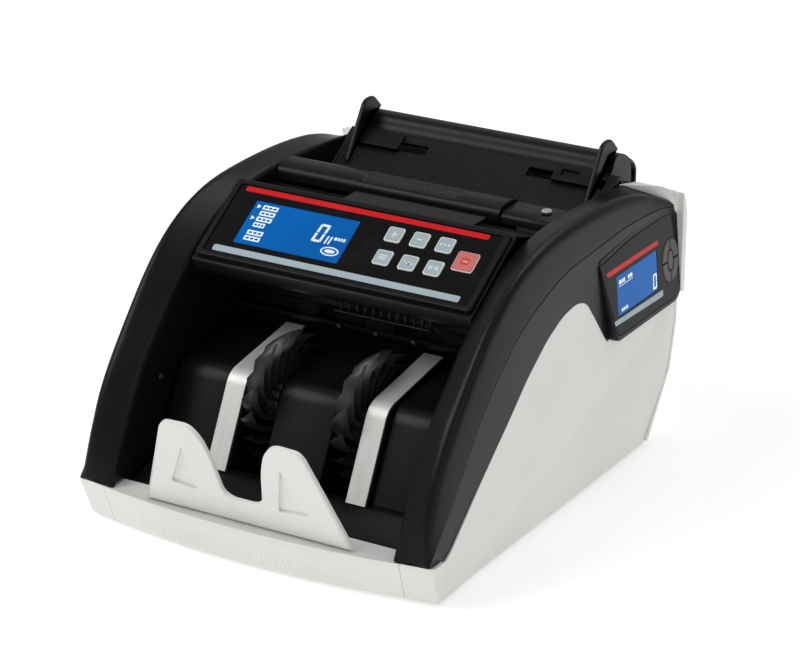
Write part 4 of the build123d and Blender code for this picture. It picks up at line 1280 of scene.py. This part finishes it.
# ----------------------------------------------------------------------------------------- hopper
@dataclass
class Hopper:
    """The feed tray with its rim, the front bar and the two sliding guides."""

    reach: float = 96.6
    thick: float = 2.2
    rim: tuple = ((203.0, 134.0), (265.9, 174.85), (268.3, 180.0), (271.8, 182.6), (278.8, 182.6),
                  (283.5, 180.4), (296.0, 172.0), (299.7, 167.0), (299.7, 156.0))
    flank: tuple = ((263.5, 172.9), (269.0, 166.1), (286.0, 161.6), (291.5, 158.1))
    hump_half: float = 90.2
    fin: tuple = ((237, 158.2), (259, 191.5), (263, 193.2), (270.5, 193.2), (274, 190),
                  (280.5, 183.6), (265, 183.6), (262.5, 176.6))

    def tray(self) -> bpy.types.Object:
        """The ribbed tray and its rounded rim.

        The sheet is a profile carried along X.  Over the sloping part its surface rises by a
        squared cosine of X, which makes the fine ribs, and the slots of the guides and the
        windows of the rollers are the faces left out of the grid.  Outside the hump the rim is
        held down to the flank's line.
        """
        line = rounded(self.rim, [0, 2.5, 3.0, 3.0, 3.5, 3.0, 3.0, 2.5, 0], 7, closed=False)
        line = even(line, 110)
        x = np.linspace(-self.reach, self.reach, 484)
        away = -sideways(line, closed=False)
        along = (line - line[0]) @ np.array([math.cos(math.radians(TRAY_TILT)),
                                             math.sin(math.radians(TRAY_TILT))])
        sloped = np.clip((72 - along) / 3, 0, 1) * np.clip((along - 4) / 3, 0, 1)
        sloped = sloped * (line[:, 0] < 268)
        ribs = 0.40 * np.cos(np.pi * x / 1.8) ** 2
        rise = sloped[:, None] * ribs[None]
        top = line[:, None] + away[:, None] * (rise - 0.4)[..., None]
        under = np.broadcast_to((line - self.thick * away)[:, None], top.shape)
        across = np.broadcast_to(x[None, :, None], (*top.shape[:2], 1))
        mid_x, mid_a = np.abs(x[1:] + x[:-1]) / 2, (along[1:] + along[:-1]) / 2
        keep = ~(((mid_x > 36) & (mid_x < 90))[None] & ((mid_a > 59) & (mid_a < 66))[:, None]
                 | ((mid_x > 23) & (mid_x < 41))[None]
                 & ((mid_a > 12) & (mid_a < 35))[:, None])
        keep |= (line[1:, 0] > 266)[:, None]
        keep &= ~((line[1:, 0] > self.flank[-1][0])[:, None] & (mid_x > self.hump_half)[None])
        form = Form()
        skins = [np.concatenate([across, part], axis=-1) for part in (top, under)]
        for skin, drop in zip(skins, (0.0, self.thick)):
            held = np.minimum(skin[..., 2], np.interp(skin[..., 1], *np.array(self.flank).T) - drop)
            outside = (np.abs(x)[None] > self.hump_half) & (skin[..., 1] > self.flank[0][0])
            skin[..., 2] = np.where(outside, held, skin[..., 2])
        shell_with_gaps(form, skins[0], skins[1], keep)
        return form.piece("feed_tray", "machine", Slot.BLACK, ["hopper_tray"], 40)

    def bar(self) -> bpy.types.Object:
        """The front bar and its tab.

        The bar's section is carried along X; over the middle its top rises and falls with a
        cosine that slants with the distance back, which makes the hatching.
        """
        section = rounded([(172.6, 164), (173.8, 171.4), (180.5, 174), (191, 174), (199.5, 170.4),
                           (197.6, 162), (195, 143), (192.8, 143), (194.6, 163.6)],
                          [1, 4.5, 4, 4, 4, 2, 1, 1, 2], 7)
        section = anticlockwise(section)
        x = np.linspace(-96.6, 61, 640)
        hatch = np.clip((x + 37) / 1.0, 0, 1) * np.clip((31 - x) / 1.0, 0, 1)
        top = np.clip((section[:, 1] - 171.8) / 1.2, 0, 1)
        wave = 0.5 + 0.5 * np.cos(2 * np.pi * (x[:, None] - 0.5 * section[None, :, 0]) / 3.4)
        dip = -0.55 * hatch[:, None] * top[None] * wave
        rows = section[None] + sideways(section)[None] * dip[..., None]
        across = np.broadcast_to(x[:, None, None], (*rows.shape[:2], 1))
        form = Form().grid(np.concatenate([across, rows], axis=-1))
        tab = rounded([(172.6, 164), (174, 169.3), (179, 171.5), (196, 171.5), (198.8, 168),
                       (196.8, 164)], [1, 2, 3, 3, 1.5, 1], 6)
        form.slab(tab, 62, 96.6, SIDE, 0.7)
        return form.piece("feed_bar", "machine", Slot.BLACK, ["cross_bar"], 34)

    def screw(self) -> bpy.types.Object:
        """The knurled screw that sets the note thickness."""
        a = np.linspace(0, 2 * np.pi, 72, endpoint=False)
        low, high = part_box("thickness_screw")
        edge = 500 * (high[0] - low[0]) - 0.13 + 0.12 * np.cos(24 * a)
        ring = np.stack([np.cos(a), np.sin(a)], -1)
        levels = np.array([(0.60, 163.6), (0.60, 171.7), (0.92, 171.8), (1.0, 172.1), (1.0, 173.6),
                           (0.90, 173.98), (0.30, 173.98), (0.22, 173.5)])
        rows = np.stack([LEVEL.lift(np.array([88.0, 184.0]) + share * edge[:, None] * ring, up)
                         for share, up in levels])
        form = Form().grid(rows)
        return form.piece("set_screw", "thickness_screw", Slot.STEEL, ["thickness_screw"], 40)

    def guide(self, side: int) -> bpy.types.Object:
        """One sliding guide: its fin, foot, stem, arm and rack bar."""
        name = "left_guide" if side < 0 else "right_guide"
        low, high = (np.array(corner) * 1000 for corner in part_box(name))
        outside = float(max(abs(low[0]), abs(high[0])))
        outline = rounded(self.fin, [2, 4, 3, 3, 2, 2.5, 2, 2], 6)

        def span(x0: float, x1: float) -> tuple[float, float]:
            """An X range on this guide's side, lower end first."""
            return tuple(sorted((side * x0, side * x1)))

        form = Form().slab(outline, *span(outside - 3, outside), SIDE, 0.7)
        foot = rectangle(*span(outside - 32, outside), 58, 70.5, 0.8)
        slot = [rectangle(60, 72, 61.5, 67, 0.6)] if side > 0 else []
        form.slab(foot, 0.5, 3.0, TRAY, 0.4, slot, 1.4)
        boxes = [((outside - 12, outside - 2), (60.5, 64.5), (-4.5, 1), 0.2),
                 ((outside - 12, outside - 2), (54, 71), (-6.5, -4.5), 0.3),
                 ((-18, outside - 2), (68, 71) if side > 0 else (54, 57), (-8.5, -4.5), 0.4)]
        for (x0, x1), (v0, v1), (z0, z1), edge in boxes:
            form.slab(rectangle(*span(x0, x1), v0, v1, 0.5), z0, z1, TRAY, edge)
        return form.piece(f"{name}_fin", name, Slot.BLACK, [name], 34)

    def build(self) -> None:
        """Makes every piece of the hopper."""
        self.tray()
        self.bar()
        self.screw()
        for side in (-1, 1):
            self.guide(side)


def shell_with_gaps(form: Form, top: Array, under: Array, keep: Array) -> None:
    """Adds a closed sheet between two grids, leaving out some of its cells.

    Every kept cell gives a face on both grids, and a wall stands on each cell side that has a
    kept cell on one side of it only, which closes the gaps and the outer edge.

    Args:
        form: the form to add to.
        top: the upper grid, by row, column and axis.
        under: the lower grid.
        keep: which cells are solid, one fewer each way.
    """
    n, m = top.shape[:2]
    index = np.arange(n * m).reshape(n, m)
    cells = np.stack([index[:-1, :-1], index[:-1, 1:], index[1:, 1:], index[1:, :-1]], -1)[keep]
    shift = n * m
    faces = [*cells.tolist(), *(cells[:, ::-1] + shift).tolist()]
    framed = np.pad(keep, 1)
    along = framed[1:, 1:-1] != framed[:-1, 1:-1]
    i, j = np.nonzero(along)
    one, two = index[i, j], index[i, j + 1]
    faces += np.stack([one, two, two + shift, one + shift], -1).tolist()
    across = framed[1:-1, 1:] != framed[1:-1, :-1]
    i, j = np.nonzero(across)
    one, two = index[i, j], index[i + 1, j]
    faces += np.stack([one, two, two + shift, one + shift], -1).tolist()
    form.add(np.concatenate([top.reshape(-1, 3), under.reshape(-1, 3)]), faces)


# --------------------------------------------------------------------------------------- the rest
@dataclass
class Workings:
    """What shows through the gaps, under and behind: kept nodes of the frame in real finishes."""

    softened_nodes: tuple = (
        ("mains_inlet", "machine", Slot.BLACK, 0.4), ("power_switch", "power_switch",
                                                      Slot.BLACK, 0.8),
        ("base_pan", "machine", Slot.BLACK, 0.6), ("rubber_feet", "machine", Slot.RUBBER, 0.5))

    def dress(self) -> None:
        """Gives every node that still shows its slot's material."""
        slots = {part["node"]: part["material_slot"] for part in frame["record"]["subparts"]}
        for name, node in frame["nodes"].items():
            if node.hide_render:
                continue
            finish = Slot(slots[name])
            node.data.materials.clear()
            node.data.materials.append(finish.material())
            LOG.info("%s: kept from the frame in %s", name, finish.value)

    def screws(self) -> bpy.types.Object:
        """Small domed screws with a recess: two on the cheeks and three on the exit ledge."""
        cheek = np.array([(2.4, 0.0), (2.4, 0.35), (1.9, 0.8), (1.2, 0.9), (1.0, 0.2)])
        form = Form()
        for side in (-1, 1):
            flip = Plane((-side * INNER, 0, 0), (0, 1, 0), (0, 0, 1), (side, 0, 0))
            form.turned(cheek, (42.5, 77.6), flip, 20)
        for x in (-14.0, 12.0, 38.0):
            front = Plane((x, 111.2, 103.2), (1, 0, 0), (0, 0, 1), (0, -1, 0))
            form.turned(cheek * (0.68, 0.8), (0, 0), front, 20)
        made = form.piece("small_screws", "machine", Slot.STEEL, ["case_screws"], 40)
        return recolour(made, "dark_steel", DARK_STEEL)

    def build(self) -> None:
        """Softens the outer small parts, makes the screws and dresses everything else."""
        for node, body, finish, width in self.softened_nodes:
            softened(node, body, finish, width)
        self.screws()
        self.dress()


@dataclass
class Studio:
    """Plain pale floor, soft lights and the camera."""

    eye: tuple = (0.913519, -1.519062, 0.820153)
    azimuth: float = 30.603
    elevation: float = 22.226
    lens: float = 141.75
    lights: tuple = (("key", (-1.3, -1.2, 1.9), (0, 0, 0.08), 1.4, 25.0),
                     ("fill", (2.0, -0.9, 1.0), (0, 0, 0.08), 1.6, 4.0),
                     ("top", (0.2, 0.9, 2.0), (0, 0, 0.1), 1.6, 16.0))

    def floor(self) -> None:
        """A wide pale floor at the feet."""
        mesh = bpy.data.meshes.new("floor")
        corners = np.array([(-1, -1, 0), (1, -1, 0), (1, 1, 0), (-1, 1, 0)]) * 6.0
        mesh.from_pydata(corners, [], [(0, 1, 2, 3)])
        mesh.materials.append(dressed("floor_paper", SHELF))
        made = bpy.data.objects.new("floor", mesh)
        bpy.context.scene.collection.objects.link(made)

    def light(self) -> None:
        """A pale surround and three large soft lights aimed at the object."""
        world = bpy.data.worlds.new("surround")
        world.use_nodes = True
        world.node_tree.nodes["Background"].inputs[0].default_value = (1.0, 1.0, 1.0, 1.0)
        world.node_tree.nodes["Background"].inputs[1].default_value = 0.38
        bpy.context.scene.world = world
        for name, place, aim, size, power in self.lights:
            data = bpy.data.lights.new(name, "AREA")
            data.size, data.energy = size, power
            made = bpy.data.objects.new(name, data)
            made.location = place
            made.rotation_mode = "QUATERNION"
            made.rotation_quaternion = (Vector(aim) - Vector(place)).to_track_quat("-Z", "Y")
            bpy.context.scene.collection.objects.link(made)

    def camera(self) -> None:
        """The camera, from its place and its two angles."""
        a, e = math.radians(self.azimuth), math.radians(self.elevation)
        forward = Vector((-math.sin(a) * math.cos(e), math.cos(a) * math.cos(e), -math.sin(e)))
        right = Vector((math.cos(a), math.sin(a), 0))
        up = right.cross(forward)
        data = bpy.data.cameras.new("camera")
        data.lens, data.sensor_width, data.sensor_fit = self.lens, 36.0, "HORIZONTAL"
        data.clip_start, data.clip_end = 0.05, 50.0
        made = bpy.data.objects.new("camera", data)
        turn = Matrix((right, up, -forward)).transposed()
        made.matrix_world = Matrix.Translation(self.eye) @ turn.to_4x4()
        bpy.context.scene.collection.objects.link(made)
        bpy.context.scene.camera = made

    def build(self) -> None:
        """Sets the stage."""
        self.floor()
        self.light()
        self.camera()
        bpy.context.scene.view_settings.view_transform = "Standard"


def main() -> None:
    """Builds the sub-assemblies in order."""
    logging.basicConfig(level=logging.INFO, format="%(name)s %(message)s")
    Studio().build()
    for part in (Casing(), Stacker(), Head(), SidePod(), Hopper(), Workings()):
        part.build()


if __name__ == "__main__":
    main()
